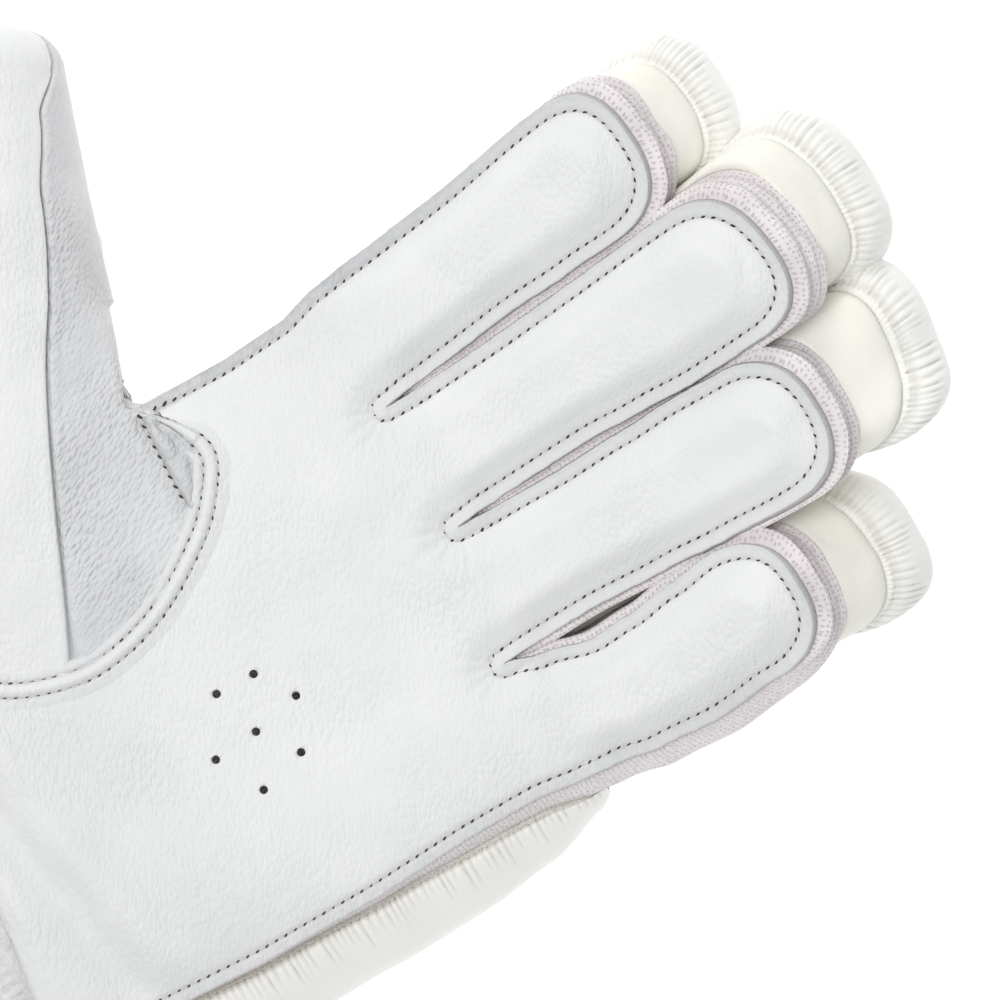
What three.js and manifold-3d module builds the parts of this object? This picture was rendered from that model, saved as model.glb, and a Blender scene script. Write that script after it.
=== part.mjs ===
// Cricket batting glove for the left hand, lying on its padded back with the palm up.
// x runs across the palm (thumb at -x), y towards the fingertips, z up. Millimetres.
// Every part but the thumb is drafted flat, as on a cutting table, in (x, y, d): d is the depth below
// the palm leather. curl() then bends the flat glove, so the fingers rise as on the real, pre-curved glove.
import * as THREE from "three";
import { mergeVertices } from "three/addons/utils/BufferGeometryUtils.js";
import Module from "manifold-3d";

const wasm = await Module();
wasm.setup();

// Driving dimensions.
const PALM_HEIGHT = 54; // palm leather above the surface that the glove lies on
const PALM_LENGTH = 118; // wrist edge to the slit between index and middle finger
const FINGER_PITCH = 27.4; // one finger to the next at their roots
const FINGER_LENGTH = 85.7; // middle finger, slit to leather tip
const SLIT_WIDTH = 0.9; // gap between two finger fronts
const LEATHER = 1.8; // palm and thumb leather
const KNIT = 1.4; // knitted finger sides
const BACK_WALL = 1.7; // finger backs and the back of the hand
const SEAM_INSET = 2.6; // stitch line to the raw leather edge
const CLEARANCE = 0.3; // between any two pieces
const CROWN = 3; // drop of the leather from the middle of a finger to its edge
const PALM_HOLLOW = 1.6; // dish in the middle of the palm
const GUSSET_DEPTH = 12; // knitted side's lower edge, below the palm
const FINGER_SPACE = 20; // hollow inside a finger, palm leather to back
const HAND_SPACE = 28; // hollow inside the palm, palm leather to back
const FINGER_ROLL = 15.5; // thickness of the padding rolls on the fingers
const BACK_INSET = 0.8; // from a parting line to the finger's back
const BACK_REACH = 3; // how far a finger's back passes the tip of its front
const ROLL_REACH = 5; // how far its last roll passes it
const ROLL_SPLIT = 1.2; // crease between two rolls of a finger
const HAND_ROLL_GAP = 1.4; // crease between two rolls on the back of the hand
const SIDE_ROLL_WIDTH = 12.3; // bolster beside the little finger's edge of the palm
const SIDE_ROLL_DEPTH = 27;
const CUFF_LENGTH = 56;
const CUFF_WALL = 3; // looped towelling
const STRAP_THICKNESS = 2.4;
const WELT_WIDTH = 5.4; // doubled leather edge round the thumb hole
const WELT_HEIGHT = 1.2;
const VENT_RADIUS = 0.85;
const THUMB_LENGTH = 92; // palm to thumb tip, along the thumb's axis
const THUMB_WIDTH = 46; // across the thumb at its middle
const THUMB_DEPTH = 39; // palm side to back at its middle
const THUMB_ROLL = 11; // thickness of the padding rolls on the thumb

const HALF_PALM = 2 * FINGER_PITCH;
const RIM = CROWN; // depth of the leather's edges
const RIM_UNDER = RIM + LEATHER + CLEARANCE;

// Fingers, from the thumb outwards. root and tip: centre line in pitches from the middle of the palm.
// length: share of FINGER_LENGTH. width: leather near the tip in pitches. skew: how much further the +x
// half of its tip reaches, in pitches. angle: curl at the tip, in degrees.
const FINGERS = [
  { name: "index", root: -1.5, tip: -1.695, length: 0.833, width: 1, skew: 0.02, angle: 26 },
  { name: "middle", root: -0.5, tip: -0.545, length: 1, width: 1.08, skew: 0.13, angle: 32 },
  { name: "ring", root: 0.5, tip: 0.64, length: 0.876, width: 0.96, skew: -0.09, angle: 29 },
  { name: "little", root: 1.5, tip: 1.64, length: 0.672, width: 0.95, skew: -0.02, angle: 31 },
];
const SLIT_ENDS = [-0.105, -0.105, -0.117, -0.198, -0.198]; // y at the finger roots, shares of FINGER_LENGTH
const KNUCKLES = [-0.09, -0.09, -0.1, -0.165]; // y where each finger starts to curl, shares of FINGER_LENGTH
const TIP_ROUND = 0.5; // length of a finger's rounded tip, in pitches
const PARTINGS = [-2.19, -1.2, 0, 1.15, 2.3]; // lines between the backs of the fingers at their tips, in pitches
const PARTINGS_AT = 0.72; // y where they get there, share of FINGER_LENGTH

// Sides of the palm, wrist to finger roots. t: share of the way. left, right: x in half palm widths.
const PALM_SIDES = [
  { t: 0, left: -0.86, right: 0.84 },
  { t: 0.16, left: -0.92, right: 0.87 },
  { t: 0.4, left: -0.97, right: 0.93 },
  { t: 0.62, left: -0.985, right: 0.955 },
  { t: 0.8, left: -0.96, right: 0.955 },
  { t: 0.93, left: -0.965, right: 0.97 },
  { t: 1, left: -1, right: 1 },
];
const WRIST_SLANT = 0.17; // how much further the wrist edge lies on the little finger's side, share of x

// Seam round the thumb hole in the palm, from the crotch to the heel, shares of half palm width.
const THUMB_SEAM = [
  { x: -0.98, y: -0.93 },
  { x: -0.86, y: -0.83 },
  { x: -0.72, y: -0.785 },
  { x: -0.61, y: -0.84 },
  { x: -0.475, y: -0.98 },
  { x: -0.33, y: -1.25 },
  { x: -0.28, y: -1.52 },
  { x: -0.33, y: -1.74 },
  { x: -0.43, y: -1.91 },
  { x: -0.6, y: -2.07 },
  { x: -0.83, y: -2.17 },
  { x: -1.02, y: -2.15 },
];

// Vent holes in the palm, shares of half palm width.
const VENTS = [
  { x: 0.03, y: -1.23 },
  { x: 0.042, y: -1.08 },
  { x: 0.19, y: -0.995 },
  { x: 0.22, y: -1.185 },
  { x: 0.226, y: -1.36 },
  { x: 0.37, y: -1.09 },
  { x: 0.41, y: -1.275 },
];

// Thumb sections from the palm to the tip. s: share of THUMB_LENGTH. width, depth: shares of the
// thumb's sizes. lift: height of the axis over that at the palm, shares of THUMB_DEPTH.
const THUMB_SECTIONS = [
  { s: 0, width: 1.12, depth: 1.06, lift: 0 },
  { s: 0.25, width: 1.06, depth: 1.04, lift: 0.06 },
  { s: 0.5, width: 1, depth: 1, lift: 0.13 },
  { s: 0.75, width: 0.87, depth: 0.92, lift: 0.2 },
  { s: 0.9, width: 0.76, depth: 0.82, lift: 0.25 },
  { s: 1, width: 0.7, depth: 0.76, lift: 0.27 },
];
const THUMB_AXIS = { x: -0.8, y: -1.53, angle: 153 }; // start in half palm widths, bearing in degrees
const THUMB_SINK = 0.45; // axis below the palm at its start, share of THUMB_DEPTH
const THUMB_SEAMS = { side: -38, front: 58, back: 188 }; // angles where the thumb's three pieces start

const mix = (a, b, t) => a + (b - a) * t;
const smooth = (t) => {
  const c = Math.min(1, Math.max(0, t));
  return c * c * (3 - 2 * c);
};

// Value of a column of a table at key k, smoothly between its rows.
function sample(table, key, column, k) {
  const last = table.length - 1;
  if (k <= table[0][key]) return table[0][column];
  for (let i = 0; i < last; i++) {
    const [a, b] = [table[i], table[i + 1]];
    if (k <= b[key]) return mix(a[column], b[column], smooth((k - a[key]) / (b[key] - a[key])));
  }
  return table[last][column];
}

// The same with straight stretches between the rows.
function sampleStraight(table, key, column, k) {
  const last = table.length - 1;
  for (let i = 0; i < last; i++) {
    const [a, b] = [table[i], table[i + 1]];
    if (k <= b[key] || i === last - 1)
      return mix(a[column], b[column], (k - a[key]) / (b[key] - a[key]));
  }
  return table[last][column];
}

for (const [i, f] of FINGERS.entries()) {
  f.index = i;
  f.rootX = f.root * FINGER_PITCH;
  f.tipX = f.tip * FINGER_PITCH;
  f.tipY = f.length * FINGER_LENGTH + (SLIT_ENDS[i] + SLIT_ENDS[i + 1]) / 2 * FINGER_LENGTH;
  f.knuckle = KNUCKLES[i] * FINGER_LENGTH;
  f.bend = THREE.MathUtils.degToRad(f.angle) / (f.tipY - f.knuckle);
}

// Bends a point of the flat glove into its real place.
function curl(x, y, d) {
  const knuckle = sample(FINGERS, "tipX", "knuckle", x);
  const bend = sample(FINGERS, "tipX", "bend", x);
  const a = Math.max(0, y - knuckle) * bend;
  const along = y > knuckle ? knuckle + Math.sin(a) / bend : y;
  const rise = (1 - Math.cos(a)) / bend;
  return new THREE.Vector3(x, along + d * Math.sin(a), PALM_HEIGHT + rise - d * Math.cos(a));
}

// y of the line through the ends of the slits, at share c across the palm.
function rootY(c) {
  const slot = Math.min(3, Math.max(0, Math.floor(c * 4)));
  return mix(SLIT_ENDS[slot], SLIT_ENDS[slot + 1], c * 4 - slot) * FINGER_LENGTH;
}

// Plan point of the palm: c across from the thumb's side, t from the wrist to the finger roots, out: beyond its edges.
function palmPoint(c, t, out = 0) {
  const left = sampleStraight(PALM_SIDES, "t", "left", t) * HALF_PALM - out;
  const right = sampleStraight(PALM_SIDES, "t", "right", t) * HALF_PALM + out;
  const x = mix(left, right, c);
  const wrist = SLIT_ENDS[0] * FINGER_LENGTH - PALM_LENGTH - WRIST_SLANT * mix(-1, 1, c) * HALF_PALM;
  return { x, y: mix(wrist, rootY(c), t) };
}

// Rows of a finger from its root to its tip. u: share of the straight part. turn: angle round the tip.
const STRAIGHT_ROWS = 6;
const TIP_ROWS = 5;
const TIP_SQUARENESS = 0.78; // below 1, the tip is squarer than an ellipse
const FINGER_ROWS = [];
for (let i = 0; i < STRAIGHT_ROWS; i++) FINGER_ROWS.push({ u: i / STRAIGHT_ROWS, turn: 0 });
for (let i = 0; i <= TIP_ROWS; i++) FINGER_ROWS.push({ u: 1, turn: (i / TIP_ROWS) * (Math.PI / 2) });

// Plan point of a finger front, v across it from -1 to 1, for one row. inset: inwards from its outline.
function frontPoint(f, v, row, inset = 0) {
  const c = (f.index + (v + 1) / 2) / 4;
  const round = TIP_ROUND * FINGER_PITCH - inset * 0.5;
  const narrow = row.turn > 1.57 ? 0 : Math.cos(row.turn) ** TIP_SQUARENESS;
  const tip = f.tipY - inset + f.skew * FINGER_PITCH * v * narrow * row.u * 0.5;
  const y = mix(rootY(c), tip - round, row.u) + round * Math.sin(row.turn) ** TIP_SQUARENESS * row.u;
  const share = Math.min(1, Math.max(0, (y - rootY(c)) / (f.tipY - rootY(c))));
  const half = mix(FINGER_PITCH - SLIT_WIDTH, f.width * FINGER_PITCH, smooth(share * 1.3)) / 2;
  return { x: mix(f.rootX, f.tipX, share) + v * (half - inset) * narrow, y };
}

// Plan point of a finger's back, between the parting lines of its neighbours.
function parting(line, y) {
  const from = (line - 2) * FINGER_PITCH;
  const root = rootY(line / 4);
  const share = (y - root) / (PARTINGS_AT * FINGER_LENGTH - root);
  return mix(from, PARTINGS[line] * FINGER_PITCH, Math.max(0, share) ** 1.2);
}
function backX(f, v, y, inset, narrow = 1) {
  const left = parting(f.index, y) + inset;
  const right = parting(f.index + 1, y) - inset;
  return mix(left, right, 0.5) + (v * narrow * (right - left)) / 2;
}
function backPoint(f, v, row, inset) {
  const c = (f.index + (v + 1) / 2) / 4;
  const round = TIP_ROUND * FINGER_PITCH - inset * 0.5;
  const narrow = row.turn > 1.57 ? 0 : Math.cos(row.turn) ** TIP_SQUARENESS;
  const tip = f.tipY + BACK_REACH - inset + f.skew * 0.5 * FINGER_PITCH * v * narrow * row.u * 0.5;
  const start = rootY(c) + 3 * CLEARANCE;
  const y = mix(start, tip - round, row.u) + round * Math.sin(row.turn) ** TIP_SQUARENESS * row.u;
  return { x: backX(f, v, y, inset + BACK_INSET, narrow), y };
}

// Depth of the palm leather's upper face, by its place across and along.
function palmDepth(c, t) {
  const edge = Math.abs(2 * c - 1) ** 5 * RIM;
  const dish = PALM_HOLLOW * Math.sin(Math.PI * c) ** 2 * smooth(t * 1.6) * smooth((1 - t) * 2.5);
  return edge + dish;
}
function frontDepth(f, v, row) {
  const c = (f.index + (v + 1) / 2) / 4;
  const tip = row.u < 1 ? 0 : Math.sin(row.turn);
  const crown = 1 - (1 - Math.abs(v) ** 3) * (1 - tip ** 3);
  return mix(palmDepth(c, 1), CROWN * crown, smooth(row.u * 3.5));
}

// Depth of the inner face of the back, at share t of the palm's length. In the fingers it is that at 1.
const RAMP = 0.7; // from here on the hollow of the hand gets shallower
function floorDepth(t) {
  return LEATHER + mix(HAND_SPACE, FINGER_SPACE, Math.min(1, Math.max(0, (t - RAMP) / (1 - RAMP))));
}

// A closed body from rings of points: each ring is closed, and its points pair up end to end across it,
// so that both ends close as strips. open: leaves out the first or last end, where another body follows.
function loft(rings, open = {}) {
  const positions = [];
  const triangle = (a, b, c) => positions.push(...a.toArray(), ...b.toArray(), ...c.toArray());
  const count = rings[0].length;
  for (let i = 0; i + 1 < rings.length; i++)
    for (let j = 0; j < count; j++) {
      const k = (j + 1) % count;
      triangle(rings[i][j], rings[i][k], rings[i + 1][k]);
      triangle(rings[i][j], rings[i + 1][k], rings[i + 1][j]);
    }
  const strip = (ring, first) => {
    for (let j = 0; j + 1 < count / 2; j++) {
      const [a, b, c, d] = [ring[j], ring[j + 1], ring[count - 2 - j], ring[count - 1 - j]];
      if (first) {
        triangle(a, c, b);
        triangle(a, d, c);
      } else {
        triangle(a, b, c);
        triangle(a, c, d);
      }
    }
  };
  if (!open.first) strip(rings[0], true);
  if (!open.last) strip(rings[rings.length - 1], false);
  return positions;
}

// A geometry from loose triangles: merged, with the collapsed ones left out and the faces pointing out.
function closed(positions) {
  const loose = new THREE.BufferGeometry();
  loose.setAttribute("position", new THREE.Float32BufferAttribute(positions, 3));
  const merged = mergeVertices(loose, 1e-3);
  const at = merged.attributes.position;
  const kept = [];
  let volume = 0;
  const [a, b, c] = [new THREE.Vector3(), new THREE.Vector3(), new THREE.Vector3()];
  for (let i = 0; i < merged.index.count; i += 3) {
    const t = [merged.index.getX(i), merged.index.getX(i + 1), merged.index.getX(i + 2)];
    if (t[0] === t[1] || t[1] === t[2] || t[0] === t[2]) continue;
    kept.push(...t);
    a.fromBufferAttribute(at, t[0]);
    b.fromBufferAttribute(at, t[1]);
    c.fromBufferAttribute(at, t[2]);
    volume += a.dot(b.cross(c));
  }
  if (volume < 0) kept.reverse();
  merged.setIndex(kept);
  return merged;
}

function solid(geometry) {
  return new wasm.Manifold(
    new wasm.Mesh({
      numProp: 3,
      vertProperties: new Float32Array(geometry.attributes.position.array),
      triVerts: new Uint32Array(geometry.index.array),
    }),
  );
}
function geometryOf(manifold) {
  const mesh = manifold.getMesh();
  const geometry = new THREE.BufferGeometry();
  geometry.setAttribute("position", new THREE.Float32BufferAttribute(mesh.vertProperties, 3));
  geometry.setIndex([...mesh.triVerts]);
  return geometry;
}

// An upright prism over a plan outline, for cutting through the flat part of the palm.
function prism(outline, low, high) {
  const shape = new THREE.Shape(outline.map((p) => new THREE.Vector2(p.x, p.y)));
  const geometry = new THREE.ExtrudeGeometry(shape, { depth: high - low, bevelEnabled: false, steps: 1 });
  geometry.translate(0, 0, low);
  geometry.deleteAttribute("normal");
  geometry.deleteAttribute("uv");
  return closed(Array.from(geometry.index ? geometry.toNonIndexed().attributes.position.array : geometry.attributes.position.array));
}

const FINISHES = {
  palm_leather: { color: 0xe6e7e6, roughness: 0.5 },
  thumb_leather: { color: 0xe8e9ea, roughness: 0.55 },
  cream_leather: { color: 0xecebe2, roughness: 0.45 },
  roll_leather: { color: 0xefefee, roughness: 0.45 },
  knit: { color: 0xe0d6d5, roughness: 0.9 },
  towelling: { color: 0xe9e9e6, roughness: 0.95 },
  strap: { color: 0xe4e4e2, roughness: 0.8 },
};
const materials = {};
for (const [name, finish] of Object.entries(FINISHES))
  materials[name] = new THREE.MeshStandardMaterial({ name, metalness: 0, ...finish });

const glove = new THREE.Group();
function add(name, geometry, material) {
  const mesh = new THREE.Mesh(geometry, materials[material]);
  mesh.name = name;
  glove.add(mesh);
}

// Palm: one sheet of leather with the four finger fronts, slit between them.
const COLUMNS = 6; // across one finger
const PALM_ROWS = 9;
const shares = (count) => Array.from({ length: count + 1 }, (_, i) => i / count);

function sheetRing(points, thickness) {
  const upper = points.map((p) => curl(p.x, p.y, p.d));
  const lower = points.map((p) => curl(p.x, p.y, p.d + thickness));
  return [...upper, ...lower.reverse()];
}
function palmPanel() {
  const palmRings = shares(PALM_ROWS).map((t) =>
    sheetRing(
      shares(4 * COLUMNS).map((c) => ({ ...palmPoint(c, t), d: palmDepth(c, t) })),
      LEATHER,
    ),
  );
  const positions = loft(palmRings, { last: true });
  for (const f of FINGERS) {
    const rings = FINGER_ROWS.map((row) =>
      sheetRing(
        shares(COLUMNS).map((s) => {
          const v = 2 * s - 1;
          if (row.u > 0) return { ...frontPoint(f, v, row), d: frontDepth(f, v, row) };
          const c = (f.index + s) / 4;
          return { ...palmPoint(c, 1), d: palmDepth(c, 1) };
        }),
        LEATHER,
      ),
    );
    positions.push(...loft(rings, { first: true }));
  }
  return closed(positions);
}

// The seam round the thumb hole as a smooth plan curve, moved by offset into the palm.
const seamCurve = new THREE.CatmullRomCurve3(
  THUMB_SEAM.map((p) => new THREE.Vector3(p.x * HALF_PALM, p.y * HALF_PALM, 0)),
);
function seamPoint(share, offset = 0) {
  const p = seamCurve.getPoint(share);
  const t = seamCurve.getTangent(share);
  return { x: p.x - t.y * offset, y: p.y + t.x * offset };
}
function thumbHole() {
  const far = -2 * HALF_PALM;
  const arc = shares(30).map((s) => seamPoint(s));
  return prism([{ x: far, y: arc[0].y }, ...arc, { x: far, y: arc[30].y }], 0, 2 * PALM_HEIGHT);
}
function vent(v) {
  const sides = 8;
  const ring = shares(sides).slice(0, sides).map((s) => ({
    x: v.x * HALF_PALM + VENT_RADIUS * Math.cos(s * 2 * Math.PI),
    y: v.y * HALF_PALM + VENT_RADIUS * Math.sin(s * 2 * Math.PI),
  }));
  return prism(ring, PALM_HEIGHT / 2, 1.5 * PALM_HEIGHT);
}
let palm = solid(palmPanel()).subtract(solid(thumbHole()));
for (const v of VENTS) palm = palm.subtract(solid(vent(v)));
add("palm_panel", geometryOf(palm), "palm_leather");

// Knitted finger sides. Each runs up one side of a finger front, round its tip and down the other side:
// a flange under the leather's edge, and a wall that slants down to the rim of the finger's back.
function gussetRing(place, edgeDepth, reach) {
  const flange = edgeDepth + LEATHER + 1.4 * CLEARANCE;
  const foot = flange + KNIT;
  const section = [
    [-0.4, flange],
    [-SEAM_INSET - KNIT, flange],
    [-SEAM_INSET - KNIT, foot + 0.3],
    [reach - KNIT, GUSSET_DEPTH],
    [reach, GUSSET_DEPTH],
    [-SEAM_INSET, foot + 0.3],
    [-SEAM_INSET, foot],
    [-0.4, foot],
  ];
  return section.map(([out, d]) => {
    const p = place(-out);
    return curl(p.x, p.y, d);
  });
}
const CROTCH = 0.655; // where the thumb side's knit starts, share of the palm's length
function gusset(f) {
  const [first, last] = [f.index === 0, f.index === 3];
  const sides = [first ? 1.2 : 0.05, last ? 3.4 : 0.05];
  const rings = [];
  const palmSide = (c, t) =>
    gussetRing((inset) => palmPoint(c, t, -inset), palmDepth(c, t), sides[c]);
  const side = (v, row) => {
    const reach = mix(sides[v < 0 ? 0 : 1], 0.7, Math.sin(row.turn));
    rings.push(gussetRing((inset) => frontPoint(f, v, row, inset), frontDepth(f, v, row), reach));
  };
  const rows = FINGER_ROWS.slice(1);
  const start = { u: 0.025, turn: 0 };
  if (first) for (const s of shares(3)) rings.push(palmSide(0, mix(CROTCH, 0.99, s)));
  side(-1, first ? rows[0] : start);
  for (const row of rows.slice(first ? 1 : 0)) side(-1, row);
  for (const row of rows.slice(0, -1).reverse()) side(1, row);
  if (last) for (const s of shares(7)) rings.push(palmSide(1, mix(0.99, 0, s)));
  else side(1, start);
  return closed(loft(rings));
}
for (const f of FINGERS) add(`${f.name}_gusset`, gusset(f), "knit");

// Backs of the fingers: open shells. Each profile row: which edge it belongs to, how far it lies
// inside the outline, and how far down the wall it is.
const BACK_PROFILE = [
  { v: -1, inset: 1.6, down: 0 },
  { v: -1, inset: 0, down: 0.62 },
  { v: -1, inset: 2.4, down: 1 },
  { v: 0, inset: 2.4, down: 1 },
  { v: 1, inset: 2.4, down: 1 },
  { v: 1, inset: 0, down: 0.62 },
  { v: 1, inset: 1.6, down: 0 },
];
const BACK_RIM = GUSSET_DEPTH + CLEARANCE;
function fingerBack(f) {
  const rings = FINGER_ROWS.map((row) => {
    const surface = (wall) =>
      BACK_PROFILE.map((p) => {
        const at = backPoint(f, p.v, row, p.inset + wall);
        const bottom = floorDepth(1) - 3 * Math.sin(row.turn) ** 3;
        return curl(at.x, at.y, mix(BACK_RIM, bottom + BACK_WALL - wall, p.down));
      });
    return [...surface(0), ...surface(BACK_WALL).reverse()];
  });
  return closed(loft(rings, { last: true }));
}
for (const f of FINGERS) add(`${f.name}_back`, fingerBack(f), "cream_leather");

// Back of the hand: a wide shell whose wall is left out where the thumb joins.
const HAND_SIDES = [1.2, 2.2]; // how far it passes the palm leather on each side
const THUMB_GAP = [0.03, 0.64]; // stretch of the palm's length that is open to the thumb
function handBack() {
  const profile = [
    ...BACK_PROFILE.slice(0, 3).map((p) => ({ ...p, c: 0 })),
    ...[0.25, 0.5, 0.75].map((c) => ({ c, inset: 0, down: 1 })),
    ...BACK_PROFILE.slice(4).map((p) => ({ ...p, c: 1 })),
  ];
  const rows = [0, 0.028, 0.032, 0.2, 0.4, 0.6, 0.645, RAMP, 0.85, 1];
  const rings = rows.map((t) => {
    const opened = t > THUMB_GAP[0] && t < THUMB_GAP[1];
    const surface = (wall) =>
      profile.map((p) => {
        const out = p.c % 1 === 0 ? HAND_SIDES[p.c] - p.inset - wall : 0;
        const at = palmPoint(p.c, t, out);
        if (t === 1) at.y -= CLEARANCE;
        const down = opened && p.c === 0 ? Math.max(p.down, 0.86) : p.down;
        return curl(at.x, at.y, mix(BACK_RIM, floorDepth(t) + BACK_WALL - wall, down));
      });
    return [...surface(0), ...surface(BACK_WALL).reverse()];
  });
  return closed(loft(rings));
}
add("hand_back", handBack(), "cream_leather");

// Padding rolls: a closed cushion over the rows of a finger or of the hand.
const ROLL_UPPER = [
  { v: -1, down: 0.3 },
  { v: -0.82, down: 0 },
  { v: 0, down: 0 },
  { v: 0.82, down: 0 },
  { v: 1, down: 0.3 },
];
const ROLL_LOWER = [
  { v: -0.96, down: 0.66 },
  { v: -0.6, down: 0.95 },
  { v: 0, down: 1 },
  { v: 0.6, down: 0.95 },
  { v: 0.96, down: 0.66 },
];
function cushionRing(place) {
  return [...ROLL_UPPER.map(place), ...ROLL_LOWER.map(place).reverse()];
}
// Fullness of a cushion at a distance from its end: 0 at the end, 1 inside.
function fullness(distance, rounding) {
  const c = Math.min(1, Math.max(0, distance / rounding));
  return Math.sqrt(1 - (1 - c) ** 2);
}
const ROLL_ENDS = 5.5; // length over which a roll's end is rounded
const ROLL_ROWS = [0, 0.05, 0.14, 0.5, 0.86, 0.95, 1];
function fingerRoll(f, part) {
  const root = rootY((f.index + 0.5) / 4);
  const reach = f.tipY + ROLL_REACH;
  const cuts = [0, 0.3, 0.6, 1];
  const near = Math.max(rootY(f.index / 4), rootY((f.index + 1) / 4));
  const from = (part === 0 ? near : mix(root, reach, cuts[part])) + ROLL_SPLIT / 2;
  const to = mix(root, reach, cuts[part + 1]) - (part < 2 ? ROLL_SPLIT / 2 : 0);
  const round = TIP_ROUND * FINGER_PITCH;
  const rings = ROLL_ROWS.map((share) => {
    const y = mix(from, to, share);
    const end = fullness(Math.min(y - from, part < 2 ? to - y : round), ROLL_ENDS);
    const beyond = part < 2 ? 0 : Math.min(0.985, Math.max(0, (y - (reach - round)) / round));
    const narrow = (1 - beyond ** (2 / TIP_SQUARENESS)) ** (TIP_SQUARENESS / 2);
    return cushionRing((p) => {
      const top = floorDepth(1) + BACK_WALL + CLEARANCE;
      const thick = FINGER_ROLL * mix(0.5, 1, end * narrow);
      const x = backX(f, p.v, y, CLEARANCE / 2 + 0.1 + 2.5 * (1 - end), narrow);
      const tilt = part === 2 ? 2.2 * narrow : 0;
      return curl(x, y - tilt * (1 - narrow) * p.down, top + thick * p.down);
    });
  });
  return closed(loft(rings));
}
for (const f of FINGERS)
  for (const [part, place] of ["base", "middle", "tip"].entries())
    add(`${f.name}_roll_${place}`, fingerRoll(f, part), "roll_leather");

// Padding rolls on the back of the hand, one behind each finger; the glove lies on them.
const HAND_ROLLS = [0.12, 0.992]; // from and to, shares of the palm's length
function handRoll(f) {
  const ramp = (RAMP - HAND_ROLLS[0]) / (HAND_ROLLS[1] - HAND_ROLLS[0]);
  const rings = [0, 0.03, 0.1, 0.35, ramp, 0.93, 0.975, 1].map((share) => {
    const t = mix(...HAND_ROLLS, share);
    const length = PALM_LENGTH * (HAND_ROLLS[1] - HAND_ROLLS[0]);
    const end = fullness(Math.min(share, 1 - share) * length, 2 * ROLL_ENDS);
    return cushionRing((p) => {
      const [a, b] = [palmPoint(f.index / 4, t), palmPoint((f.index + 1) / 4, t)];
      const inset = HAND_ROLL_GAP / 2 + 3 * (1 - end);
      const x = mix(a.x + inset, b.x - inset, (p.v + 1) / 2);
      const y = mix(a.y, b.y, (p.v + 1) / 2);
      const top = floorDepth(t) + BACK_WALL + CLEARANCE;
      const bottom = mix(top + 6, PALM_HEIGHT * 1.03, end);
      return curl(x, y, Math.min(PALM_HEIGHT, mix(top, bottom, p.down)));
    });
  });
  return closed(loft(rings));
}
for (const f of FINGERS) add(`hand_roll_${f.name}`, handRoll(f), "roll_leather");

// Bolster along the little finger's side of the hand.
function sideRoll() {
  const rings = [0, 0.03, 0.08, 0.3, 0.55, 0.8, 0.93, 0.975, 1].map((share) => {
    const t = mix(0.07, 0.985, share);
    const end = fullness(Math.min(share, 1 - share) * 0.9 * PALM_LENGTH, 2 * ROLL_ENDS);
    const edge = palmPoint(1, t, HAND_SIDES[1] + 2.2 * CLEARANCE);
    const outer = Math.max(edge.x + 0.6 * SIDE_ROLL_WIDTH, mix(edge.x, HALF_PALM, 0.7) + SIDE_ROLL_WIDTH * 0.88);
    const [wide, deep] = [mix(0.35, 1, end), mix(0.5, 1, end)];
    const middle = BACK_RIM + CLEARANCE + SIDE_ROLL_DEPTH / 2;
    const section = [
      [0, -0.5],
      [0.42, -0.46],
      [0.8, -0.3],
      [1, -0.05],
      [0.98, 0.2],
      [0.8, 0.4],
      [0.42, 0.5],
      [0, 0.46],
    ];
    return section.map(([across, down]) =>
      curl(mix(edge.x, outer, across * wide), edge.y, middle + down * deep * SIDE_ROLL_DEPTH),
    );
  });
  return closed(loft(rings));
}
add("side_roll", sideRoll(), "roll_leather");

// Thumb: skin(s, angle, out) is a point out from its surface. Angle 0 faces the index finger, 90 the
// palm side, 270 the back. It starts at the hole in the palm and the gap in the back of the hand.
const direction = new THREE.Vector3(
  Math.cos(THREE.MathUtils.degToRad(THUMB_AXIS.angle)),
  Math.sin(THREE.MathUtils.degToRad(THUMB_AXIS.angle)),
  0,
);
const across = new THREE.Vector3(direction.y, -direction.x, 0);
const TIP_LENGTH = 0.13; // rounded end of the thumb, share of THUMB_LENGTH
function thumbEllipse(s, angle, out) {
  const a = THREE.MathUtils.degToRad(angle);
  const column = (name) => sampleStraight(THUMB_SECTIONS, "s", name, Math.min(1, s));
  const past = Math.max(0, s - 1) / TIP_LENGTH;
  const scale = Math.sqrt(1 - Math.min(0.985, past) ** 2.4);
  const half = Math.max(0.3, ((column("width") * THUMB_WIDTH) / 2 + out) * scale);
  const rise = Math.max(0.3, ((column("depth") * THUMB_DEPTH) / 2 + out) * scale);
  const squareCos = Math.sign(Math.cos(a)) * Math.abs(Math.cos(a)) ** 0.88;
  const squareSin = Math.sign(Math.sin(a)) * Math.abs(Math.sin(a)) ** 0.88;
  const grow = s > 1 ? out * past : 0;
  return new THREE.Vector3(THUMB_AXIS.x * HALF_PALM, THUMB_AXIS.y * HALF_PALM, PALM_HEIGHT)
    .addScaledVector(direction, s * THUMB_LENGTH + grow)
    .addScaledVector(across, half * squareCos)
    .add(new THREE.Vector3(0, 0, (column("lift") - THUMB_SINK) * THUMB_DEPTH + rise * squareSin));
}
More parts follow.
